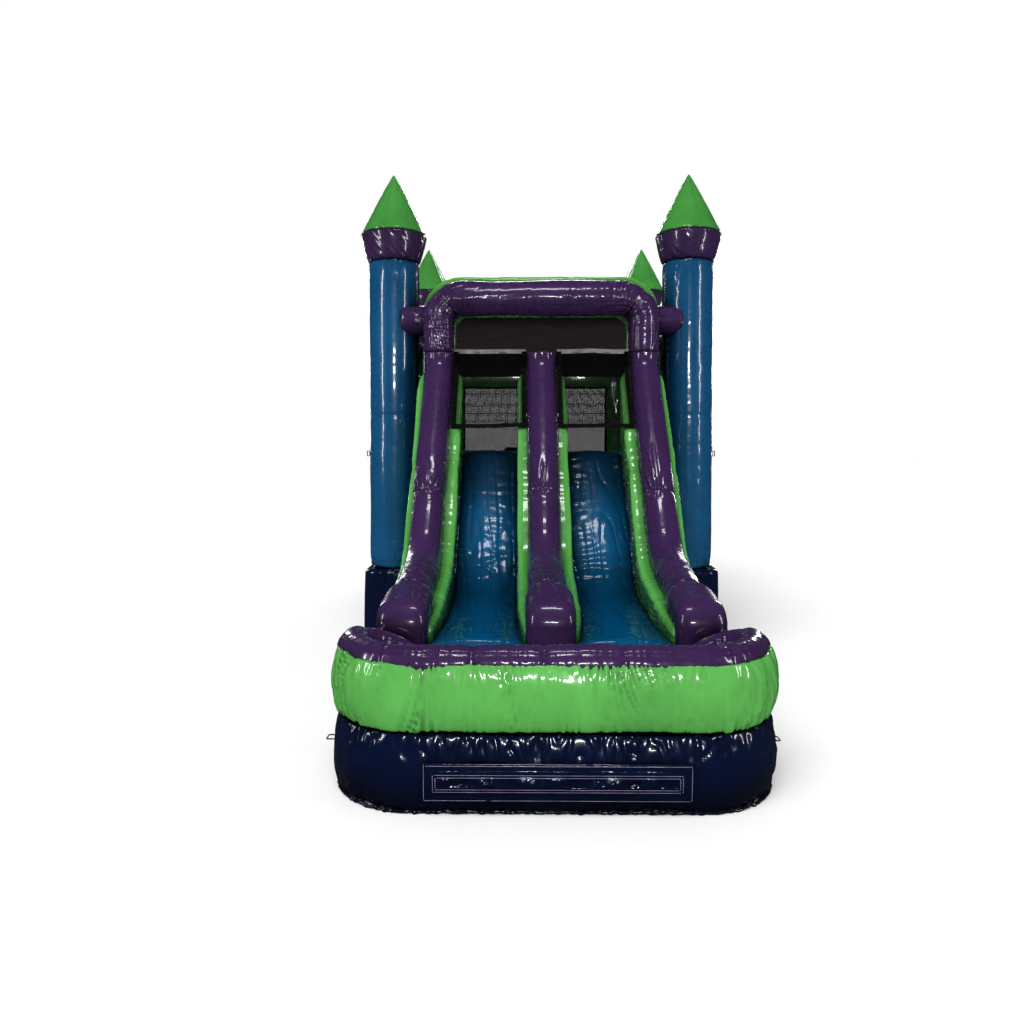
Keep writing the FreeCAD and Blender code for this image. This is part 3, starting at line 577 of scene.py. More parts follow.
# near-black as painted shade: the band at the lane nets' tops stands where the rear beam lies in shadow
PAINTED_SHADE_BLACK = cloth("net_band_painted_shade", linear(2, 2, 3), 700.0, 0.9)
WEBBING = cloth("webbing_black", linear(8, 8, 9), 500.0)
HEM_GREY = cloth("webbing_dark_grey", linear(70, 68, 66), 500.0)
WEBBING_PALE = cloth("webbing_grey", linear(120, 116, 112), 500.0)
STITCH = cloth("thread_lavender", linear(150, 140, 180), 900.0)
STEEL = moulded("plated_steel", linear(120, 120, 124), 0.35, 0.9)
PLASTIC = moulded("blower_plastic", linear(222, 120, 30), 0.45)
BLACK_PLASTIC = moulded("black_plastic", linear(24, 24, 26), 0.45)
MOTOR_PAINT = moulded("motor_paint", linear(46, 48, 52), 0.4, 0.4)
RUBBER = moulded("black_rubber", linear(18, 18, 18), 0.75)
RED_PLASTIC = moulded("red_plastic", linear(190, 22, 22), 0.3)


# ---------------------------------------------------------------- wrinkled tubes


def tube_wrinkles(
    rings, seed, cross_seams=(), crease=0.0012, gather=0.010, seam_angles=(), ends=0.012, reach=0.16
):
    """How far each point of a tube moves: seams across it, seams along it, gathers and creases."""
    along, around = lengths(rings)
    total = along[-1, 0]
    girth = around[:, -1:] + np.linalg.norm(rings[:, -1:] - rings[:, :1], axis=-1)
    amount = 0.004 * noise(rings, 0.7, seed)
    patches = np.clip(noise(rings, 0.9, seed + 2), 0, 1)
    amount -= crease * (1 + 2.5 * patches) * creases(rings, 0.24, seed + 3, 0.55)
    for i, seam in enumerate([*cross_seams, 0.0, total]):
        strength = gather if i < len(cross_seams) else ends
        away = along - seam
        amount -= strength * 0.7 * pinch(away, 0.009)
        amount -= strength * near(away, 0.06)
        amount -= strength * gathers(around, away, 0.05, reach, seed + 10 + i * 3)
    for i, share in enumerate(seam_angles):
        away = (around - share * girth + girth / 2) % girth - girth / 2
        amount -= 0.005 * pinch(away, 0.007)
        amount -= gather * 0.8 * gathers(along, away, 0.045, 0.075, seed + 40 + i * 3)
    return amount - np.median(amount)


def straight_tube(start, end, radius, side, seed, spacing=0.014, **wrinkles):
    """Wrinkled rings from one point to another."""
    path = resampled(np.array([start, end], float), spacing)
    rings = tube_rings(path, radius, side, int(2 * math.pi * radius / spacing))
    return puffed(rings, tube_wrinkles(rings, seed, **wrinkles))


# ---------------------------------------------------------------- towers


CAP_AROUND = 150             # points round a collar or a cone
GORES = 4


def tower_rings(seed, spacing=0.02):
    """A column round the z axis at the origin, with a seam near its foot and its head tucked in."""
    foot, head = TOWER_LOW[2], TOWER_HIGH[2]
    heights = np.linspace(foot, head, int((head - foot) / spacing))
    around = int(2 * math.pi * TOWER_RADIUS / spacing)
    rings = tube_rings(upright_path(heights), TOWER_RADIUS - 0.006, X, around)
    return puffed(rings, tube_wrinkles(rings, seed, TOWER_SEAMS, 0.0010, 0.0045, (0.1, 0.6)))


def collar_rings(seed, spacing=0.014):
    """The flared ring: it widens upwards, with puckers along both sewn edges."""
    low, high = COLLAR_LOW[2], COLLAR_HIGH[2]
    heights = np.linspace(low, high, int((high - low) / spacing))
    share = (heights - low) / (high - low)
    radii = TOWER_RADIUS + 0.006 + (CONE_RADIUS - TOWER_RADIUS - 0.004) * share
    radii += 0.004 * np.sin(math.pi * share) - 0.010 * np.exp(-share / 0.06)
    rings = tube_rings(upright_path(heights), radii, X, CAP_AROUND)
    _, around = lengths(rings)
    height = rings[..., 2]
    amount = -0.012 * gathers(around, height - low, 0.05, 0.10, seed)
    amount -= 0.012 * gathers(around, height - high, 0.05, 0.10, seed + 5)
    amount += 0.003 * noise(rings, 0.25, seed)
    return puffed(rings, amount)


def cone_rings(seed, spacing=0.014):
    """The pointed roof: a tight cone of sewn gores that rounds in under its lower edge."""
    low, high = CONE_LOW[2], CONE_HIGH[2]
    share = np.linspace(0, 1, int((high - low) / spacing))
    heights = low + (high - low) * share
    radii = (CONE_RADIUS - 0.004) * (1 - share) ** 0.94 + 0.008
    radii[0] *= 0.90
    radii[1] *= 0.975
    rings = tube_rings(upright_path(heights), radii, X, CAP_AROUND)
    angle = np.linspace(0, 2 * math.pi, CAP_AROUND, endpoint=False)
    seam = np.abs(np.sin(angle * GORES / 2 + 0.4)) * 2 / GORES * radii[:, None]
    _, around = lengths(rings)
    amount = -0.006 * pinch(seam, 0.010) - 0.009 * gathers(around, rings[..., 2] - low, 0.045, 0.09, seed)
    amount -= 0.0025 * creases(rings, 0.2, seed + 2, 0.3)
    amount -= 0.004 * gathers(rings[..., 2], seam, 0.05, 0.05, seed + 7)
    return puffed(rings, amount * np.clip(radii / 0.05, 0, 1)[:, None])


TOWER_PLACES = {"front_left": (-1, -1), "front_right": (1, -1), "rear_right": (1, 1), "rear_left": (-1, 1)}


def make_towers():
    """Four columns, and the collars and cones on their heads."""
    collars, cones = [], []
    for number, (place, (side, depth)) in enumerate(TOWER_PLACES.items()):
        shift = np.array([side * TOWER_AT, depth * TOWER_AT, 0])
        seed = 100 + number * 20
        column = spun(tower_rings(seed), 37 * number) + shift
        skin("column_" + place, [column], BLUE, "tower_" + place)
        collars.append(collar_rings(seed + 7) + shift)
        cones.append(spun(cone_rings(seed + 9), 23 * number) + shift)
    skin("collars", collars, PURPLE, "tower_collars")
    skin("cone_roofs", cones, CONE_GREEN, "tower_cones")


# ---------------------------------------------------------------- arch and rails


ARCH_AROUND, RAIL_AROUND = 110, 120      # points round a ring


def make_arch():
    """The tube over the slide, with cross seams at its corners and at its feet."""
    flat = bent_path(gateway(ARCH_HALF, ARCH_FOOT, ARCH_TOP), [ARCH_CORNER] * 2, 0.010)
    path = np.stack([flat[:, 0], np.full(len(flat), ARCH_Y), flat[:, 1]], -1)
    fuller = np.clip((flat[:, 1] - ARCH_TOP + 0.20) / 0.20, 0, 1)
    path[:, 2] -= 0.018 * fuller
    rings = tube_rings(path, TUBE_RADIUS - 0.004 + 0.021 * fuller, Y, ARCH_AROUND)
    corner = ARCH_TOP - ARCH_CORNER - ARCH_FOOT + ARCH_CORNER * math.pi / 4
    seams = [corner, along_path(path)[-1] - corner]
    along, _ = lengths(rings)
    amount = tube_wrinkles(rings, 11, seams, gather=0.016, crease=0.0010, reach=0.26, seam_angles=(0.60,))
    inside = 0.5 - 0.5 * np.cos(2 * math.pi * (np.arange(ARCH_AROUND) / ARCH_AROUND - 0.75))
    for place in seams:
        bend = pinch(along - place, 0.30)
        amount -= 0.020 * bend * inside * gathers(along, along * 0, 0.055, 1.0, 77)
    skin("arch", [puffed(rings, amount)], PURPLE, "arch_tube")


def rail_section(nose, half, below):
    """(side, up) outlines, one for each ring: round where nose is 0 and boxy where it is 1."""
    angle = np.linspace(0, 2 * math.pi, RAIL_AROUND, endpoint=False)
    size = boxy(angle, (2 + 1.4 * nose)[:, None])
    reach = np.where(np.sin(angle) > 0, TUBE_RADIUS, below[:, None])
    return half[:, None] * np.cos(angle) * size, reach * np.sin(angle) * size


def rail_rings(x):
    """A rail's smooth rings, and how many of them come before the nose turns down.

    The rail runs from the arch over the knee. Its nose hangs down over the wall's end: the rings fan out
    from upright to level, so that the last one looks down, and then drop to the nose's foot.
    """
    path = at_x(x, bent_path(RAIL_BENDS, RAIL_RADII, 0.010))
    to_end = along_path(path)[-1] - along_path(path)
    nose = 1 / (1 + np.exp((to_end - NOSE_LENGTH + 0.14) / 0.035))
    half = TUBE_RADIUS * 0.94 + (NOSE_HALF - TUBE_RADIUS * 0.94) * nose
    closing = np.clip(1 - to_end / 0.12, 0, 1)
    side, up = rail_section(nose, half, TUBE_RADIUS - (TUBE_RADIUS - 0.005) * closing)
    up_way = unit(np.cross(tangents(path), X))
    rings = path[:, None, :] + side[..., None] * X + up[..., None] * up_way[:, None, :]

    tilt = math.atan2(-up_way[-1, 1], up_way[-1, 2])
    turn = np.linspace(tilt, math.pi / 2, 24)[1:]
    ones = np.ones(len(turn))
    pivot = path[-1] - NOSE_FOLD * up_way[-1]
    side, up = rail_section(ones, NOSE_HALF * ones, 0.005 * ones)
    way = np.stack([turn * 0, -np.sin(turn), np.cos(turn)], -1)
    fan = pivot + side[..., None] * X + (NOSE_FOLD + up)[..., None] * way[:, None, :]
    drop = np.linspace(0, 1, 24)[1:] * (pivot[2] - NOSE_FOOT)
    skirt = fan[-1] - drop[:, None, None] * Z
    return np.concatenate([rings, fan, skirt]), len(path)


def rail_wrinkles(rings, x, seed, straight):
    """How far each point of a rail moves. straight is how many rings come before the nose's turn."""
    angle = np.linspace(0, 2 * math.pi, RAIL_AROUND, endpoint=False)
    ridge = along_path(rings[:, np.argmax(np.sin(angle))])
    distance = np.broadcast_to(ridge[:, None], rings.shape[:2])
    _, girth = lengths(rings)
    amount = tube_wrinkles(rings, seed, ends=0.0, crease=0.0010)
    amount -= 0.008 * gathers(girth, distance, 0.05, 0.08, seed + 14)

    # the seam at the foot of the arch's leg, with long gathers above it
    past_seam = distance - RAIL_SEAM
    reach = np.where(past_seam < 0, -past_seam, past_seam * 5)
    amount -= 0.007 * pinch(past_seam, 0.010) + 0.008 * near(past_seam, 0.05)
    amount -= 0.020 * gathers(girth, reach, 0.050, 0.30, seed + 11)

    # the seams along both sides
    lower = np.clip((distance - 0.9) / 0.4, 0.25, 1)
    for number, place in enumerate((0.0, math.pi)):
        off = np.abs((angle - place + math.pi) % (2 * math.pi) - math.pi) * TUBE_RADIUS
        amount -= 0.007 * lower * gathers(distance, off, 0.055, 0.075, seed + 40 + number)

    # the crease where the nose begins, with bands across the rail before it
    past_crease = distance - ridge[straight - 1] + NOSE_LENGTH - 0.08
    bands = creases(np.stack([distance, np.abs(rings[..., 0] - x) * 0.5], -1), 0.06, seed + 60, 0.45) - 0.3
    amount -= 0.009 * pinch(past_crease + 0.36, 0.26) * bands
    amount -= 0.014 * pinch(past_crease, 0.014) + 0.010 * near(past_crease, 0.04)
    amount -= 0.012 * gathers(girth, past_crease - 0.01, 0.05, 0.07, seed + 70)
    return amount


def make_rails():
    """The two outer rails and the middle one."""
    for name, side, seed in (("rail_left", -1, 210), ("rail_middle", 0, 240), ("rail_right", 1, 270)):
        x = side * ARCH_HALF
        rings, straight = rail_rings(x)
        amount = rail_wrinkles(rings, x, seed, straight)
        skin(name + "_tube", [puffed(rings, amount)], PURPLE, name)


# ---------------------------------------------------------------- the pool


def pool_path(inset):
    """The pool's outline from its left end round the front to its right end."""
    corners = gateway(POOL_HALF - inset, SLIDE_END, POOL_FRONT + inset)
    return bent_path(corners, [POOL_CORNER - inset] * 2, POOL_SPACING)


def pool_wrinkles(rings, seed, low, high):
    """Puckers along the seams at a band's lower and upper edge, worst round the corners."""
    along, _ = lengths(rings)
    height = rings[..., 2]
    front = along[-1, 0] / 2
    corner = pinch(np.abs(along - front) - (POOL_HALF - 0.15), 0.22)
    amount = 0.005 + 0.004 * noise(rings, 0.6, seed) - 0.002 * creases(rings, 0.35, seed + 1, 0.3)
    for i, edge in enumerate((low, high)):
        away = height - edge
        amount -= 0.016 * (0.9 + corner) * gathers(along, away, 0.045, 0.20, seed + 3 + i * 3)
        amount -= 0.022 * near(away, 0.065)
    return amount - 0.010 * corner * creases(np.stack([along * 2.2, height * 0.5], -1), 0.22, seed + 9, 0.4)


def make_rim():
    """The tube on top of the pool's wall."""
    half, back = POOL_HALF - RIM_INSET, SLIDE_END - RIM_RADIUS
    front, inward = POOL_FRONT + RIM_INSET, ARCH_HALF - NOSE_HALF + 0.07
    corners = [(-inward, back), *gateway(half, back, front), (inward, back)]
    path = bent_path(corners, [0.20, *[POOL_CORNER - RIM_RADIUS] * 2, 0.20], POOL_SPACING)
    along = along_path(path)
    centre = along[-1] / 2
    tucked = np.clip((np.abs(along - centre) - centre + 0.5) / 0.5, 0, 1)
    heights = RIM_HEIGHT - RIM_TUCK * tucked ** 2
    rings = tube_rings(np.column_stack([path, heights]), RIM_RADIUS - 0.004, Z, 72)
    seams = [centre + place for place in RIM_SEAMS]
    amount = tube_wrinkles(rings, 31, seams, gather=0.009, ends=0.0, seam_angles=(0.12, 0.88), reach=0.10)
    skin("rim", [puffed(rings, amount)], PURPLE, "pool_rim")


def make_pool_wall():
    """The green wall between the band and the rim."""
    low, high = BAND_HEIGHT - 0.01, RIM_HEIGHT + 0.042
    rings = plan_rings(pool_path(WALL_INSET), pool_section(low, high, RIM_RADIUS + 0.010, 0.034))
    skin("splash_wall", [puffed(rings, pool_wrinkles(rings, 41, low, high))], GREEN, "pool_wall")


def make_pool_band():
    """The navy band at the pool's foot, which swells over the front, and a welt along the ground."""
    low, high = POOL_LOW[2], BAND_HEIGHT + 0.006
    rings = plan_rings(pool_path(WALL_INSET), pool_section(low, high, RIM_RADIUS + 0.006, 0.004))
    height = rings[..., 2]
    onward = np.clip((POOL_FRONT + 0.62 - rings[..., 1]) / 0.25, 0, 1)
    along, _ = lengths(rings)
    crumple = creases(np.stack([along * 1.3, height * 0.7], -1), 0.13, 58, 0.35)
    amount = pool_wrinkles(rings, 51, low, high)
    amount += onward * BAND_BULGE * np.sin(math.pi * np.clip(height / high, 0, 1))
    amount -= 0.010 * onward * crumple * np.clip((height - 0.22) / 0.15, 0, 1)
    path = pool_path(0.032)
    along = along_path(path)[:, None]
    welt = np.column_stack([path, 0.014 + 0.004 * noise(along, 0.12, 57)])
    thick = 0.011 + 0.003 * noise(along, 0.05, 58)
    grids = [kept_within(puffed(rings, amount), 0.0), tube_rings(welt, thick, Z, 10)]
    skin("splash_band", grids, NAVY, "pool_band")


def pool_section(low, high, half, bulge):
    """A band's section: square at its seams, with a bulge between them."""
    section = soft_outline(-half, half, low, high, 0.014, 104)
    swell = np.sin(math.pi * (section[:, 1] - low) / (high - low))
    section[:, 0] += np.sign(section[:, 0]) * bulge * swell
    return section


# ---------------------------------------------------------------- soft blocks


def soft_outline(low_a, high_a, low_b, high_b, radius, count):
    """A rounded rectangle of count points, as (a, b) pairs."""
    corners = [(low_a, low_b), (high_a, low_b), (high_a, high_b), (low_a, high_b)]
    radius = min(radius, 0.49 * (high_a - low_a), 0.49 * (high_b - low_b))
    return evenly(bent_path(corners, [radius] * 4, 0.02, closed=True), count)


def stations(low, high, spacing, soft):
    """Places from low to high, closer together at both ends, with how far the block draws in at each."""
    ends = soft * (1 - np.cos(np.linspace(0, math.pi / 2, 7)))
    middle = np.arange(low + soft + spacing, high - soft, spacing)
    places = np.concatenate([low + ends, middle, high - ends[::-1]])
    into = np.minimum(places - low, high - places)
    inset = soft - np.sqrt(np.clip(soft ** 2 - np.clip(soft - into, 0, soft) ** 2, 0, None))
    return places, inset


def block_rings(low_x, high_x, low_y, high_y, low_z, top, spacing=0.02, radius=0.06, around=None):
    """A soft block as rings across y. top gives the height at a y, or is one height."""
    heights = top if callable(top) else (lambda y: top)
    places, inset = stations(low_y, high_y, spacing, radius)
    tallest = max(heights(y) for y in places)
    around = around or int(2 * (high_x - low_x + tallest - low_z) / spacing)
    rings = []
    for y, i in zip(places, inset):
        ring = soft_outline(low_x + i, high_x - i, low_z + i, heights(y) - i, radius, around)
        rings.append(np.column_stack([ring[:, 0], np.full(around, y), ring[:, 1]]))
    return np.array(rings)


def layer_rings(half_x, low_y, high_y, low_z, high_z, corner, spacing=0.02, soft=0.06):
    """A soft block as rings across z, with rounded upright corners."""
    places, inset = stations(low_z, high_z, spacing, soft)
    around = int((4 * half_x + 2 * (high_y - low_y)) / spacing)
    rings = []
    for z, i in zip(places, inset):
        ring = soft_outline(i - half_x, half_x - i, low_y + i, high_y - i, corner, around)
        rings.append(np.column_stack([ring, np.full(around, z)]))
    return np.array(rings)


def slack(rings, seed, swell=0.006, size=0.6, crease=0.004, mesh=0.3):
    """Broad swelling and soft creases over a whole piece."""
    amount = swell * noise(rings, size, seed)
    amount -= crease * creases(rings, mesh, seed + 1, 0.5)
    return amount - 0.4 * crease * creases(rings, mesh * 0.45, seed + 2, 0.6)


# ---------------------------------------------------------------- the house


def make_base():
    """The square base under the towers, tight at its seams and full between them."""
    foot, seam = BASE_LOW[2], BASE_TOP - 0.01
    rings = layer_rings(BASE_HALF, BASE_FRONT, BASE_HALF, foot, BASE_TOP - 0.006, BASE_CORNER, 0.018, 0.05)
    height = rings[..., 2] - foot
    _, around = lengths(rings)
    amount = slack(rings, 301, 0.005, 0.8, 0.002, 0.5)
    amount -= 0.016 * gathers(around, height, 0.07, 0.16, 311)
    amount -= 0.014 * gathers(around, height - seam, 0.07, 0.14, 321)
    amount += 0.012 * np.sin(math.pi * np.clip(height / seam, 0, 1)) - 0.004
    moved = kept_within(puffed(rings, amount), 0.0, BASE_TOP)
    skin("base", [moved], NAVY, "house_base", "inner_baffles")


def make_bounce_floor():
    """The tufted floor: one round channel between every pair of baffles."""
    low, high = box("bounce_floor")
    half = TOWER_AT + 0.06
    rings = block_rings(-half, half, -half, half, low[2], high[2] + 0.001, 0.03, 0.02, 260)
    away = to_nearest(rings[..., 1] + half, 2 * half / CHANNELS)
    upper = rings[..., 2] > (low[2] + high[2]) / 2
    _, around = lengths(rings)
    dip = 0.030 * near(away, 0.035) + 0.008 * gathers(around, away, 0.08, 0.10, 333)
    rings[..., 2] -= np.where(upper, dip + 0.004 * (1 + noise(rings, 0.4, 331)), 0)
    skin("bouncing_floor", [rings], BLUE, "bounce_floor")


def make_beams():
    """The tubes along the tops of the walls, and the two stubs beside the arch."""
    reach = TOWER_AT - 0.10
    radius = BEAM_RADIUS - 0.003
    start, end = (-reach, BEAM_AT, BEAM_HEIGHT), (reach, BEAM_AT, BEAM_HEIGHT)
    for number, (name, degrees) in enumerate(WALLS.items()):
        seed = 401 + 10 * number
        rings = straight_tube(start, end, radius, Y, seed, 0.02, cross_seams=[reach], gather=0.008)
        skin("wall_top_" + name, [spun(rings, degrees)], PURPLE, "top_beam_" + name)
    stubs = []
    for side in (-1, 1):
        start, end = (side * 1.20, -BEAM_AT, BEAM_HEIGHT), (side * (reach - 0.01), -BEAM_AT, BEAM_HEIGHT)
        stubs.append(straight_tube(start, end, BEAM_RADIUS + 0.012, Y, 431 + side, 0.013, crease=0.002))
    skin("wall_top_front", stubs, PURPLE, "top_beam_front")


def upright_rings(low_x, high_x, low_z, high_z, depth, seed, spacing=0.02):
    """A soft upright slab in the rear wall's plane, as rings across z."""
    middle, half = (FRAME_LOW[1] + FRAME_HIGH[1]) / 2, depth / 2
    path_z = np.arange(low_z, high_z, spacing)
    ring = plump((high_x - low_x) / 2, half, 44, 3.4)
    ring = ring + np.array([(low_x + high_x) / 2, middle])
    rings = np.stack([np.column_stack([ring, np.full(len(ring), z)]) for z in path_z])
    return puffed(rings, slack(rings, seed, 0.004, 0.5, 0.0015, 0.3))


def make_wall_frames():
    """Round each net: two posts beside the towers and a header under the beam."""
    depth = FRAME_HIGH[1] - FRAME_LOW[1]
    middle = np.array([(FRAME_LOW[1] + FRAME_HIGH[1]) / 2, HEADER_LOW + HEADER_HEIGHT / 2])
    header = plump(depth / 2, HEADER_HEIGHT / 2, 56, 3.4) + middle
    for number, (name, degrees) in enumerate(WALLS.items()):
        seed = 501 + 10 * number
        grids = []
        for side in (-1, 1):
            low, high = sorted((side * NET_HALF, side * (TOWER_AT - 0.19)))
            grids.append(upright_rings(low, high, BASE_TOP - 0.02, BEAM_HEIGHT - 0.1, depth, seed + side))
        rings = np.stack([at_x(x, header) for x in np.arange(0.15 - TOWER_AT, TOWER_AT - 0.149, 0.02)])
        grids.append(puffed(rings, slack(rings, seed + 5, 0.004, 0.5, 0.0015, 0.3)))
        skin("wall_panel_" + name, [spun(grid, degrees) for grid in grids], GREEN, "wall_frame_" + name)


def make_backing():
    """The panel behind the arch: a band on three sides of the passage."""
    foot, count = BACKING_LOW[2] - 0.01, 460
    outer = bent_path(gateway(BACKING_HIGH[0] - 0.004, foot, BACKING_HIGH[2] - 0.016), [0.42] * 2, 0.005)
    inner = bent_path(gateway(PASSAGE_HALF, foot, PASSAGE_TOP), [0.13] * 2, 0.005)
    outer, inner = evenly(outer, count), evenly(inner, count)
    middle, half = (BACKING_LOW[1] + BACKING_HIGH[1]) / 2, (BACKING_HIGH[1] - BACKING_LOW[1]) / 2
    section = plump(1.0, 1.0, 72, 6.0)
    across = (section[:, 0] + 1) / 2
    flat = inner[:, None, :] + (outer - inner)[:, None, :] * across[None, :, None]
    depth = np.broadcast_to(middle + half * section[:, 1], flat.shape[:2])
    rings = np.stack([flat[..., 0], depth, flat[..., 1]], -1)
    moved = puffed(rings, slack(rings, 551, 0.003, 0.4, 0.004, 0.2))
    skin("arch_panel", [moved], GREEN, "arch_backing")


def make_climbing():
    """The ramp inside the house up to the slide's deck, with its soft bars."""
    low, high = box("climbing_wall")
    foot = BASE_TOP - 0.01
    corners = [(low[1], foot), (low[1], high[2]), (CLIMB_HEAD, high[2]), (high[1], foot)]
    outline = bent_path(corners, [0.05, 0.06, 0.10, 0.04], 0.02, closed=True)
    outline = resampled(outline, 0.02)[:-1]
    centre = outline.mean(0)
    xs, inset = stations(low[0], high[0], 0.03, 0.05)
    rings = np.array([at_x(x, centre + (outline - centre) * (1 - i / 0.6)) for x, i in zip(xs, inset)])
    moved = puffed(rings, slack(rings, 561, 0.006, 0.5, 0.006, 0.3))
    skin("climbing_ramp", [moved], BLUE, "climbing_wall")

    run, rise = CLIMB_HEAD - high[1], high[2] - BASE_TOP
    bars = []
    for row in range(1, CLIMB_ROWS + 1):
        part = row / (CLIMB_ROWS + 1)
        y, z = high[1] + run * part, BASE_TOP + rise * part
        for side in (-1, 1):
            start, end = (side * 0.13, y, z), (side * 0.75, y, z)
            bars.append(straight_tube(start, end, 0.072, Y, 571 + row * 4 + side, 0.02, crease=0.005))
    skin("climbing_bars", bars, GREEN, "climbing_steps")


def make_step():
    """The soft block outside the way in."""
    low, high = box("entrance_step")
    rings = block_rings(low[0], high[0], low[1], high[1], low[2], high[2], 0.02, 0.07)
    along, _ = lengths(rings)
    away = rings[..., 2] - high[2] + 0.02
    amount = slack(rings, 601, 0.006, 0.5, 0.002, 0.3)
    amount -= 0.006 * (0.8 * pinch(away, 0.010) + gathers(along, away, 0.05, 0.06, 605))
    piece = skin("entry_step", [kept_within(puffed(rings, amount), 0.0)], NAVY, "entrance_step")


# ---------------------------------------------------------------- the slide


def heights_along(bends, radii):
    """The height of a side-view outline at any y."""
    flat = bent_path(bends, radii, 0.01)
    order = np.argsort(flat[:, 0])
    places, heights = flat[order, 0], flat[order, 1]
    return lambda y: float(np.interp(y, places, heights))


def towards_end(rings):
    """0 on most of the slide, rising to 1 at its end by the pool."""
    return np.clip((SLIDE_END - rings[..., 1]) / WALL_TAPER + 1, 0, 1) ** 2


def heights_at_rings(rings, top):
    """The slide's height over each ring, as a column."""
    return np.array([top(y) for y in rings[:, 0, 1]])[:, None]


def make_lanes():
    """The two slides: each crowns between its walls, with ripples where it bends at the knee."""
    top = heights_along(LANE_BENDS, LANE_RADII)
    for name, seed in (("lane_left", 611), ("lane_right", 621)):
        low, high = box(name)
        rings = block_rings(low[0] - 0.03, high[0] + 0.03, low[1], high[1], low[2], top, 0.014, 0.05, 330)
        middle, half = (low[0] + high[0]) / 2, (high[0] - low[0]) / 2
        across = np.clip((rings[..., 0] - middle) / half, -1, 1)
        upper = pinch(heights_at_rings(rings, top) - rings[..., 2], 0.08)
        rings[..., 0] += END_SPREAD * np.sign(across) * towards_end(rings)
        x, y = rings[..., 0], rings[..., 1]
        amount = slack(rings, seed, 0.004, 0.6, 0.0015, 0.35)
        amount += upper * (0.045 * (1 - across ** 2) - 0.030)
        away = np.minimum(np.abs(x - low[0]), np.abs(x - high[0]))
        amount -= upper * 0.012 * gathers(y * 1.5, away, 0.07, 0.12, seed + 5)
        ripple = creases(np.stack([y, x * 0.22], -1), 0.09, seed + 8, 0.5)
        flow = creases(np.stack([y * 0.25, x], -1), 0.12, seed + 9, 0.4)
        amount -= upper * (0.010 * pinch(y - KNEE_AT, 0.30) * ripple + 0.004 * flow)
        skin(name + "_bed", [puffed(rings, amount)], LANE_BLUE, name)


def make_slide_walls():
    """The walls under the outer rails and the divider under the middle one."""
    top = heights_along(RAIL_BENDS, RAIL_RADII)

    def lowered(y):
        return top(y) - 0.025

    low, high = box("slide_wall_right")
    divider_low, divider_high = box("slide_divider")
    places = {
        "slide_wall_left": (-high[0], -low[0], 631),
        "slide_wall_right": (low[0], high[0], 641),
        "slide_divider": (divider_low[0], divider_high[0], 651),
    }
    for name, (low_x, high_x, seed) in places.items():
        rings = block_rings(low_x, high_x, low[1] + 0.09, high[1], low[2], lowered, 0.016, 0.06, 340)
        outer = name != "slide_divider"
        lane_side = -np.sign(low_x + high_x) if outer else np.sign(rings[..., 0])
        facing = np.abs(rings[..., 0]) < (low[0] + high[0]) / 2 if outer else 1
        rings[..., 0] -= lane_side * facing * END_SPREAD * towards_end(rings)
        height = rings[..., 2]
        below = heights_at_rings(rings, top) - height
        along, _ = lengths(rings)
        amount = slack(rings, seed, 0.005, 0.6, 0.0015, 0.4)
        amount -= 0.010 * gathers(along * 1.6, below - 0.05, 0.06, 0.12, seed + 4)
        amount -= 0.010 * gathers(along * 1.6, height - low[2], 0.07, 0.12, seed + 7)
        if outer:
            seam = to_nearest(rings[..., 1] - low[1], (high[1] - low[1]) / WALL_PANELS)
            amount -= 0.010 * near(seam, 0.03) + 0.006 * gathers(height, seam, 0.07, 0.10, seed + 9)
        skin(name + "_skin", [puffed(rings, amount)], GREEN, name)


def make_slide_base():
    """The dark band under the slide."""
    low, high = box("slide_base")
    rings = layer_rings(high[0], low[1] - 0.03, high[1] + 0.02, low[2], high[2] + 0.002, 0.05, 0.02, 0.05)
    _, around = lengths(rings)
    amount = slack(rings, 661, 0.005, 0.6, 0.002, 0.5)
    amount -= 0.010 * gathers(around, rings[..., 2] - high[2], 0.07, 0.12, 665)
    amount -= 0.012 * gathers(around, rings[..., 2] - low[2], 0.07, 0.12, 667)
    skin("slide_band", [kept_within(puffed(rings, amount), 0.0)], NAVY, "slide_base")


def make_pool_floor():
    """The padded floor of the pool, tufted across."""
    low, high = box("pool_floor")
    half, start, end = high[0] - 0.01, low[1] + 0.02, high[1] + 0.02
    rings = block_rings(-half, half, start, end, low[2], high[2], 0.03, 0.06)
    away = to_nearest(rings[..., 1] - low[1], 0.26)
    upper = rings[..., 2] > high[2] / 2
    _, around = lengths(rings)
    tufts = 0.025 * near(away, 0.03) + 0.008 * gathers(around, away, 0.07, 0.1, 675)
    amount = slack(rings, 671, 0.005, 0.4, 0.005, 0.2) - np.where(upper, tufts, 0)
    piece = skin("pool_pad", [kept_within(puffed(rings, amount), 0.0, high[2])], BLUE, "pool_floor")


# ---------------------------------------------------------------- nets, hems and the roof


def ribbon_faces(lines, points, offset):
    """Quads along flat ribbons, each stored as its left edge's points and then its right edge's."""
    faces = []
    for line in range(lines):
        start = offset + line * points * 2
        for i in range(points - 1):
            faces.append([start + i, start + i + 1, start + points + i + 1, start + points + i])
    return faces


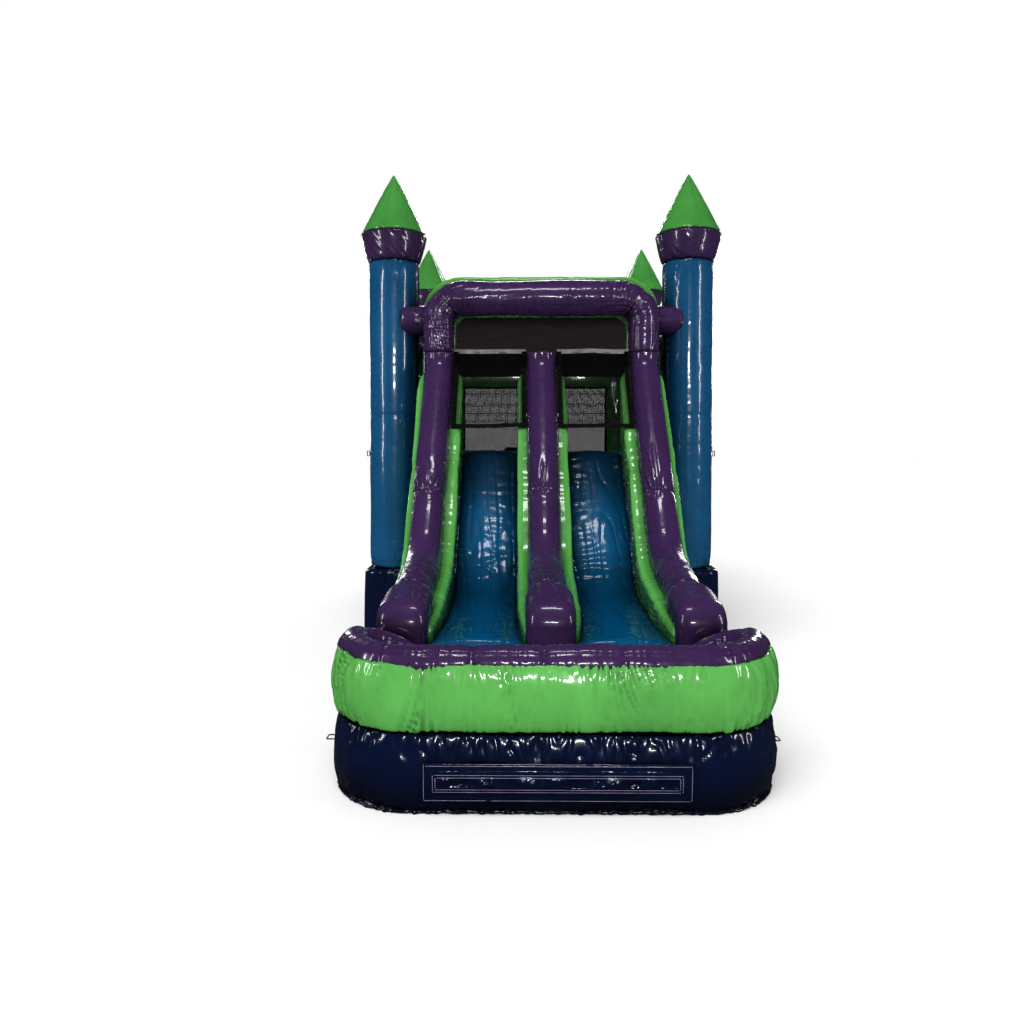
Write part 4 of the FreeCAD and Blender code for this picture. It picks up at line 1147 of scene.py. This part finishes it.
def netting(surface, width, length, pitch=NET_PITCH, cord=NET_CORD):
    """Crossed flat cords over a surface, a function of (across, along) arrays in metres."""
    points, faces = [], []
    for turned in (False, True):
        reach, run = (length, width) if turned else (width, length)
        places = np.arange(pitch / 2, reach, pitch)
        steps = np.linspace(0, run, max(8, int(run / 0.05)) + 1)
        left = np.stack(np.meshgrid(places - cord / 2, steps, indexing="ij"), -1)
        right = np.stack(np.meshgrid(places + cord / 2, steps, indexing="ij"), -1)
        both = np.stack([left, right], 1)
        a, b = (both[..., 1], both[..., 0]) if turned else (both[..., 0], both[..., 1])
        offset = sum(len(p) for p in points)
        points.append(surface(a, b).reshape(-1, 3))
        faces += ribbon_faces(len(places), len(steps), offset)
    return np.concatenate(points), faces


def strap(name, path, width, side, material, body=BODY, thick=0.006):
    """A flat strap along a path. side is the direction of its width: one vector or one for each point."""
    path = np.asarray(path, float)
    side = np.broadcast_to(side, path.shape)
    out = unit(np.cross(tangents(path), side))
    corners = [(-1, -1), (1, -1), (1, 1), (-1, 1)]
    rings = np.stack([path + side * (a * width / 2) + out * (b * thick / 2) for a, b in corners], 1)
    return riding_piece(name, *joined_rings([rings]), material, body=body, smooth=False)


def folds(across, along, seed, depth=0.012, pitch=0.16):
    """Slack folds that run down a hanging net."""
    return depth * noise(np.stack([across, along * 0.25], -1), pitch, seed)


def make_wall_nets():
    """The nets in the side walls and the rear wall. The rear one leaves the doorway free."""
    low, high = box("wall_net_rear")
    half, foot, head = high[0], low[2], high[2]
    plane = (low[1] + high[1]) / 2
    whole = (2 * half, head - foot)
    for number, (name, degrees) in enumerate(WALLS.items()):
        def surface(a, b):
            taut = np.sin(math.pi * a / whole[0]) * np.sin(math.pi * b / whole[1])
            y = plane + folds(a, b, 701 + 10 * number) * np.clip(taut * 2, 0, 1)
            return spun(np.stack([a - half, y, foot + b], -1), degrees)

        points, faces = netting(surface, *whole)
        if name == "rear":
            centre = np.array([points[face].mean(0) for face in faces])
            inside = (np.abs(centre[:, 0]) < DOOR_HALF) & (centre[:, 2] < DOOR_TOP)
            faces = [face for face, gone in zip(faces, inside) if not gone]
        points, faces = compact(points, faces)
        net = riding_piece("net_" + name, points, faces, NET_BLACK, "wall_net_" + name, smooth=False)
        hems = border("net_hem_" + name, gateway(half, foot, head), 4, plane, degrees)
        area = net_area(*whole)
        if name == "rear":
            area -= net_area(2 * DOOR_HALF, DOOR_TOP - foot)
            hems += border("doorway_hem", gateway(DOOR_HALF, foot, DOOR_TOP), 3, plane)


def make_door():
    """The net door with its hems and the band across it, which swing together."""
    net_low, net_high = box("wall_net_rear")
    low, high = box("entrance_door")
    plane = (net_low[1] + net_high[1]) / 2
    width, height = high[0] - low[0], high[2] - low[2]

    def surface(a, b):
        y = plane + 0.4 * folds(a, b, 731) * np.clip(2 * np.sin(math.pi * a / width), 0, 1)
        return np.stack([low[0] + a, y, low[2] + b], -1)

    points, faces = netting(surface, width, height)
    door = riding_piece(
        "door_net", points, faces, NET_BLACK, "entrance_door", body="entrance_door", smooth=False
    )
    inset = 0.022
    left, right = low[0] + inset, high[0] - inset
    bottom, top = low[2] + inset, high[2] - inset
    looks = {"width": 0.04, "body": "entrance_door", "material": HEM_GREY}
    hems = border("door_hem", [(left, bottom), (left, top), (right, top), (right, bottom)], 4, plane, **looks)
    middle = (bottom + top) / 2
    hems.append(net_hem("door_band", (left, middle), (right, middle), plane, **looks))


def net_area(width, length, pitch=NET_PITCH, cord=NET_CORD):
    """The area of the crossed cords of a net."""
    return width * length * 2 * cord / pitch


def compact(points, faces):
    """Only the points that some face uses."""
    used = np.unique(np.concatenate([np.array(face) for face in faces]))
    place = {int(old): new for new, old in enumerate(used)}
    return points[used], [[place[i] for i in face] for face in faces]


def net_hem(name, start, end, plane, degrees=0, width=0.05, body=BODY, material=WEBBING):
    """A webbing strap sewn along one edge of a wall net, given as (x, z) in the rear wall's plane."""
    ends = np.array([(start[0], plane, start[1]), (end[0], plane, end[1])])
    path = spun(resampled(ends, 0.1), degrees)
    across = spun(np.cross(unit(ends[1] - ends[0]), Y)[None, :], degrees)[0]
    return strap(name, path, width, across, material, body)


def border(name, corners, count, plane, degrees=0, **looks):
    """Numbered hems from corner to corner: as many as count, in the rear wall's plane."""
    onward = corners[1:] + corners[:1]
    edges = list(zip(corners, onward))[:count]
    return [net_hem("%s_%d" % (name, i), *edge, plane, degrees, **looks) for i, edge in enumerate(edges)]


def make_lane_nets():
    """The nets over the tops of the lanes: they follow the rails from strap to strap."""
    low, high = box("lane_net_right")
    sheet_y = ARCH_Y - 0.004
    outline = np.array([(sheet_y, high[2]), (sheet_y, ARCH_FOOT - 0.15), (low[1] + 0.004, low[2])])
    reach = along_path(outline)
    width, length = high[0] - low[0], reach[-1]
    for name, side, seed in (("lane_net_left", -1, 741), ("lane_net_right", 1, 751)):
        def surface(a, b):
            y = np.interp(b, reach, outline[:, 0])
            z = np.interp(b, reach, outline[:, 1])
            dip = folds(a, b, seed, 0.010) * np.clip(2 * np.sin(math.pi * a / width), 0, 1)
            return np.stack([side * (low[0] + a), y + dip, z], -1)

        points, faces = netting(surface, width, length, LANE_PITCH, LANE_CORD)
        net = riding_piece(name + "_cords", points, faces, NET_BLACK, name, smooth=False)
        for end, material in ((0, WEBBING_PALE), (-1, WEBBING)):
            y, z = outline[end]
            across = resampled(np.array([(side * low[0], y, z), (side * high[0], y, z)]), 0.05)
            across[:, 2] += 0.006 * noise(across, 0.5, seed + 2)
            down = unit(np.array([0, *(outline[1] - outline[end])]))
            strap("%s_hem_%d" % (name, abs(end)), across, 0.045, down, material)
        # the close-woven band across the top, near-black as painted shade over the rear beam
        band_y = ARCH_Y - 0.009
        band = resampled(np.array([(side * low[0], band_y, 0), (side * high[0], band_y, 0)]), 0.04)
        band[:, 2] = high[2] - 0.035 - NET_BAND / 2
        band[:, 1] += 0.004 * noise(band, 0.3, seed + 6)
        strap(name + "_band", band, NET_BAND, Z, PAINTED_SHADE_BLACK, thick=0.004)
        for edge, x in (("inner", low[0] + 0.02), ("outer", high[0] - 0.02)):
            run = resampled(at_x(side * x, outline), 0.05)
            strap("%s_%s_border" % (name, edge), run, 0.05, X, WEBBING)


ROOF_POINTS = 120            # along each side of the roof sheet


def grid_faces(rows, columns):
    """Quads over a flat grid of points."""
    row, column = np.meshgrid(np.arange(rows - 1), np.arange(columns - 1), indexing="ij")
    first = (row * columns + column).reshape(-1)
    return np.stack([first, first + columns, first + columns + 1, first + 1], -1).tolist()


def make_roof():
    """The dark roof sheet, slack between the tubes it hangs from and cut out round the towers."""
    low, high = box("roof_sheet")
    middle = (low[2] + high[2]) / 2
    front = BACKING_HIGH[1] - 0.03
    xs = np.linspace(low[0] + 0.005, high[0] - 0.005, ROOF_POINTS)
    ys = np.linspace(front, high[1] - 0.005, ROOF_POINTS)
    grid = np.stack(np.meshgrid(xs, ys, indexing="ij"), -1)
    share_x = (grid[..., 0] - xs[0]) / (xs[-1] - xs[0])
    share_y = (grid[..., 1] - ys[0]) / (ys[-1] - ys[0])
    tight = np.clip(4 * share_x * (1 - share_x), 0, 1) * np.clip(4 * share_y * (1 - share_y), 0, 1)
    corner = np.minimum(share_x, 1 - share_x) + np.minimum(share_y, 1 - share_y)
    diagonal = np.stack([np.abs(share_x - 0.5) - share_y, (share_x + share_y) * 0.15], -1)
    pulled = creases(diagonal * 2.2, 0.30, 761, 0.35) * np.clip(corner * 5, 0, 1)
    z = middle - 0.10 * tight ** 0.8
    z -= 0.020 * pulled * np.clip(3 * tight, 0.1, 1)
    z += 0.010 * noise(grid, 0.45, 763) * np.clip(3 * tight, 0, 1)
    points = np.concatenate([grid, z[..., None]], -1).reshape(-1, 3)
    from_tower = np.hypot(np.abs(points[:, 0]) - TOWER_AT, np.abs(points[:, 1]) - TOWER_AT)
    faces = [face for face in grid_faces(ROOF_POINTS, ROOF_POINTS) if from_tower[face].max() >= 0.25]
    roof = riding_piece("roof_cloth", *compact(points, faces), ROOF_BLACK, "roof_sheet")


# ---------------------------------------------------------------- trim, anchors and the blower


def make_banner():
    """The stitched panel on the pool's front, sewn on over the band's bulge."""
    low, high = box("banner_panel")
    half, foot, head = high[0], low[2], high[2]
    columns, rows = 220, 40
    places = np.meshgrid(np.linspace(-half, half, columns), np.linspace(foot, head, rows), indexing="ij")
    x, z = places
    grid = np.stack(places, -1)
    edge = np.minimum(half - np.abs(x), np.minimum(z - foot, head - z))
    inside = (edge - BANNER_FRAME) / 0.03
    frame_line = pinch(edge - BANNER_FRAME, 0.006) + pinch(edge - BANNER_FRAME * 0.45, 0.004)
    crumple = creases(grid, 0.16, 801, 0.35) + 0.6 * creases(grid, 0.07, 802, 0.3)
    out = 0.016 - 0.010 * crumple * np.clip(inside, 0.15, 1) - 0.005 * frame_line
    out += 0.018 * noise(grid, 0.22, 803) * np.clip(inside, 0.2, 1)
    out = np.where(edge < 0.002, 0.0, out)
    points = np.stack([x, band_front(z) - out, z], -1).reshape(-1, 3)
    riding_piece("banner", points, grid_faces(columns, rows), NAVY, "banner_panel")
    make_stitches(half, foot, head)


def band_front(z):
    """The pool band's front face at a height."""
    return POOL_FRONT + 0.014 - BAND_BULGE * np.sin(math.pi * z / (BAND_HEIGHT + 0.006))


def make_stitches(half, foot, head):
    """Two rows of thread round the banner's frame and one round its edge."""
    points, faces = [], []
    for inset in (0.008, BANNER_FRAME - 0.012, BANNER_FRAME + 0.004):
        x, low, high = half - inset, foot + inset, head - inset
        corners = [(-x, low), (x, low), (x, high), (-x, high)]
        for run in zip(corners, corners[1:] + corners[:1]):
            start, end = np.array(run)
            way = unit(end - start)
            side = np.array([-way[1], way[0]])
            for place in np.arange(0.006, np.linalg.norm(end - start) - 0.006, 0.014):
                for a, b in ((-1, -1), (1, -1), (1, 1), (-1, 1)):
                    spot = start + way * (place + a * 0.0045) + side * b * 0.0014
                    points.append((spot[0], band_front(spot[1]) - 0.022, spot[1]))
                faces.append(list(range(len(points) - 4, len(points))))
    riding_piece("banner_stitches", points, faces, STITCH, smooth=False)


def make_trim():
    """The webbing anchors with their rings, the towers' loops and the zip."""
    paint(WEBBING, "anchor_straps", "tower_loops", "deflation_zip")
    paint(STEEL, "zip_slider", *[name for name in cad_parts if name.startswith("anchor_ring")])


def make_sleeve():
    """The fabric sleeve from the blower into the base, tied round the blower's outlet."""
    low, high = box("inflation_sleeve")
    x, z = (low[0] + high[0]) / 2, (low[2] + high[2]) / 2
    path = resampled(np.array([(x, low[1] - 0.01, z), (x, high[1], z)]), 0.014)
    along = along_path(path)
    tie = along[-1] - 0.07
    rings = tube_rings(path, (high[2] - low[2]) / 2 - 0.006 - 0.020 * pinch(along - tie, 0.02), X, 90)
    distance, around = lengths(rings)
    amount = slack(rings, 811, 0.006, 0.25, 0.006, 0.15)
    amount -= 0.012 * gathers(around, distance - tie, 0.04, 0.12, 815)
    skin("sleeve", [kept_within(puffed(rings, amount), 0.002)], NAVY, "inflation_sleeve")


def paint(material, *names):
    """Gives CAD nodes a new material."""
    for name in names:
        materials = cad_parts[name].data.materials
        materials.clear()
        materials.append(material)


def make_blower():
    """The looks of the blower's parts, which keep the CAD's shapes."""
    paint(PLASTIC, "blower_housing")
    paint(BLACK_PLASTIC, "blower_handle", "blower_impeller", "switch_box")
    paint(MOTOR_PAINT, "blower_motor")
    paint(STEEL, "blower_grille")
    paint(RUBBER, "blower_feet")
    paint(RED_PLASTIC, "switch_rocker")


# ---------------------------------------------------------------- stage, lights and camera


WORLD_SOFT = 0.42            # what the surfaces receive from all round
WORLD_GLOSS = 0.03           # what shows in their gloss between the lamps
SUN_POWER = 2.9
CAMERA_PLACE = (-0.2315, -9.976, 2.3005)
CAMERA_TILT = math.radians(2.0)
CAMERA_TURN = 0.0101
FOCAL_PIXELS = 755.9
FRAME_PIXELS = 1024.0
SENSOR = 36.0
CAMERA_SHIFT = -0.0429


def make_stage():
    """A pale floor that runs off into a pale background."""
    corners = [(-60, -40, 0), (60, -40, 0), (60, 80, 0), (-60, 80, 0)]
    floor = mesh_piece("studio_floor", corners, [[0, 1, 2, 3]], pale_floor())
    floor.visible_glossy = False


def pale_floor():
    """A matt, nearly white paint."""
    material, tree, shader = shaded("studio_floor_paint")
    grain = texture(tree, "ShaderNodeTexNoise", 3.0, Detail=3.0)
    tone = ramp(tree, grain.outputs["Fac"], [(0.3, (0.93, 0.93, 0.93, 1)), (0.7, (0.945, 0.945, 0.945, 1))])
    tree.links.new(tone.outputs["Color"], shader.inputs["Base Color"])
    shader.inputs["Roughness"].default_value = 0.8
    return material


# lamps: name, place, target, power, width and height
LAMPS = [
    ("front_left", (-8.5, -8.0, 4.5), (0, -1, 2.0), 260, 0.5, 5.0),
    ("front_right", (8.5, -8.5, 4.5), (0, -1, 2.0), 260, 0.5, 5.0),
    ("behind_camera", (0.6, -17.0, 4.6), (0, -1, 2.5), 420, 2.6, 0.8),
    ("above_front", (0.0, -5.75, 8.5), (0, -3, 1.0), 110, 2.4, 0.6),
    ("above_rear", (0.0, 6.5, 8.5), (0, 1, 2.0), 260, 6.0, 0.6),
    ("rear_left", (-8.0, 8.0, 4.5), (0, 1, 2.0), 220, 0.6, 5.0),
    ("rear_right", (8.0, 8.0, 4.5), (0, 1, 2.0), 220, 0.6, 5.0),
]


def lamp(name, place, target, power, width, height):
    """A rectangular light that faces a target. It shows in gloss only."""
    light = bpy.data.lights.new(name, "AREA")
    light.shape = "RECTANGLE"
    light.size, light.size_y = width, height
    light.energy = power
    lamp_object = bpy.data.objects.new(name, light)
    bpy.context.scene.collection.objects.link(lamp_object)
    forward = unit(np.array(target) - np.array(place))
    right = unit(np.cross(forward, Z))
    up = np.cross(right, forward)
    lamp_object.matrix_world = [
        [right[0], up[0], -forward[0], place[0]],
        [right[1], up[1], -forward[1], place[1]],
        [right[2], up[2], -forward[2], place[2]],
        [0, 0, 0, 1],
    ]
    lamp_object.matrix_world.transpose()
    lamp_object.visible_diffuse = False


def make_world():
    """White to the camera, soft grey to the surfaces, and dim in reflections."""
    world = bpy.data.worlds.new("studio")
    bpy.context.scene.world = world
    world.use_nodes = True
    tree = world.node_tree
    tree.nodes.clear()
    rays = tree.nodes.new("ShaderNodeLightPath")
    output = tree.nodes.new("ShaderNodeOutputWorld")

    def background(strength):
        node = tree.nodes.new("ShaderNodeBackground")
        node.inputs["Color"].default_value = (1, 1, 1, 1)
        node.inputs["Strength"].default_value = strength
        return node.outputs["Background"]

    def choose(ray, otherwise, chosen):
        node = tree.nodes.new("ShaderNodeMixShader")
        tree.links.new(rays.outputs[ray], node.inputs["Fac"])
        tree.links.new(otherwise, node.inputs[1])
        tree.links.new(chosen, node.inputs[2])
        return node.outputs["Shader"]

    soft = choose("Is Glossy Ray", background(WORLD_SOFT), background(WORLD_GLOSS))
    shown = choose("Is Camera Ray", soft, background(1.0))
    tree.links.new(shown, output.inputs["Surface"])


def make_sun():
    """The main soft light. It isn't seen in reflections, which come from the lamps."""
    light = bpy.data.lights.new("sun", "SUN")
    light.energy = SUN_POWER
    light.angle = math.radians(50)
    sun = bpy.data.objects.new("sun", light)
    sun.rotation_euler = (math.radians(32), math.radians(-12), 0)
    sun.visible_glossy = False
    bpy.context.scene.collection.objects.link(sun)


def make_lights():
    """The world, the sun and the lamps whose reflections lie on the vinyl."""
    make_world()
    make_sun()
    for settings in LAMPS:
        lamp(*settings)
    bpy.context.scene.view_settings.view_transform = "Standard"


def make_camera():
    """The camera at the front, fitted to the view the looks were matched in."""
    camera = bpy.data.cameras.new("camera")
    camera.sensor_width = SENSOR
    camera.lens = SENSOR * FOCAL_PIXELS / FRAME_PIXELS
    camera.shift_y = CAMERA_SHIFT
    camera.clip_end = 300
    camera_object = bpy.data.objects.new("camera", camera)
    camera_object.location = CAMERA_PLACE
    camera_object.rotation_euler = (math.pi / 2 - CAMERA_TILT, 0, CAMERA_TURN)
    bpy.context.scene.collection.objects.link(camera_object)
    bpy.context.scene.camera = camera_object


make_camera()
make_stage()
make_lights()
make_towers()
make_arch()
make_rails()
make_rim()
make_pool_wall()
make_pool_band()
make_base()
make_bounce_floor()
make_beams()
make_wall_frames()
make_backing()
make_climbing()
make_step()
make_lanes()
make_slide_walls()
make_slide_base()
make_pool_floor()
make_wall_nets()
make_door()
make_lane_nets()
make_roof()
make_banner()
make_trim()
make_sleeve()
make_blower()
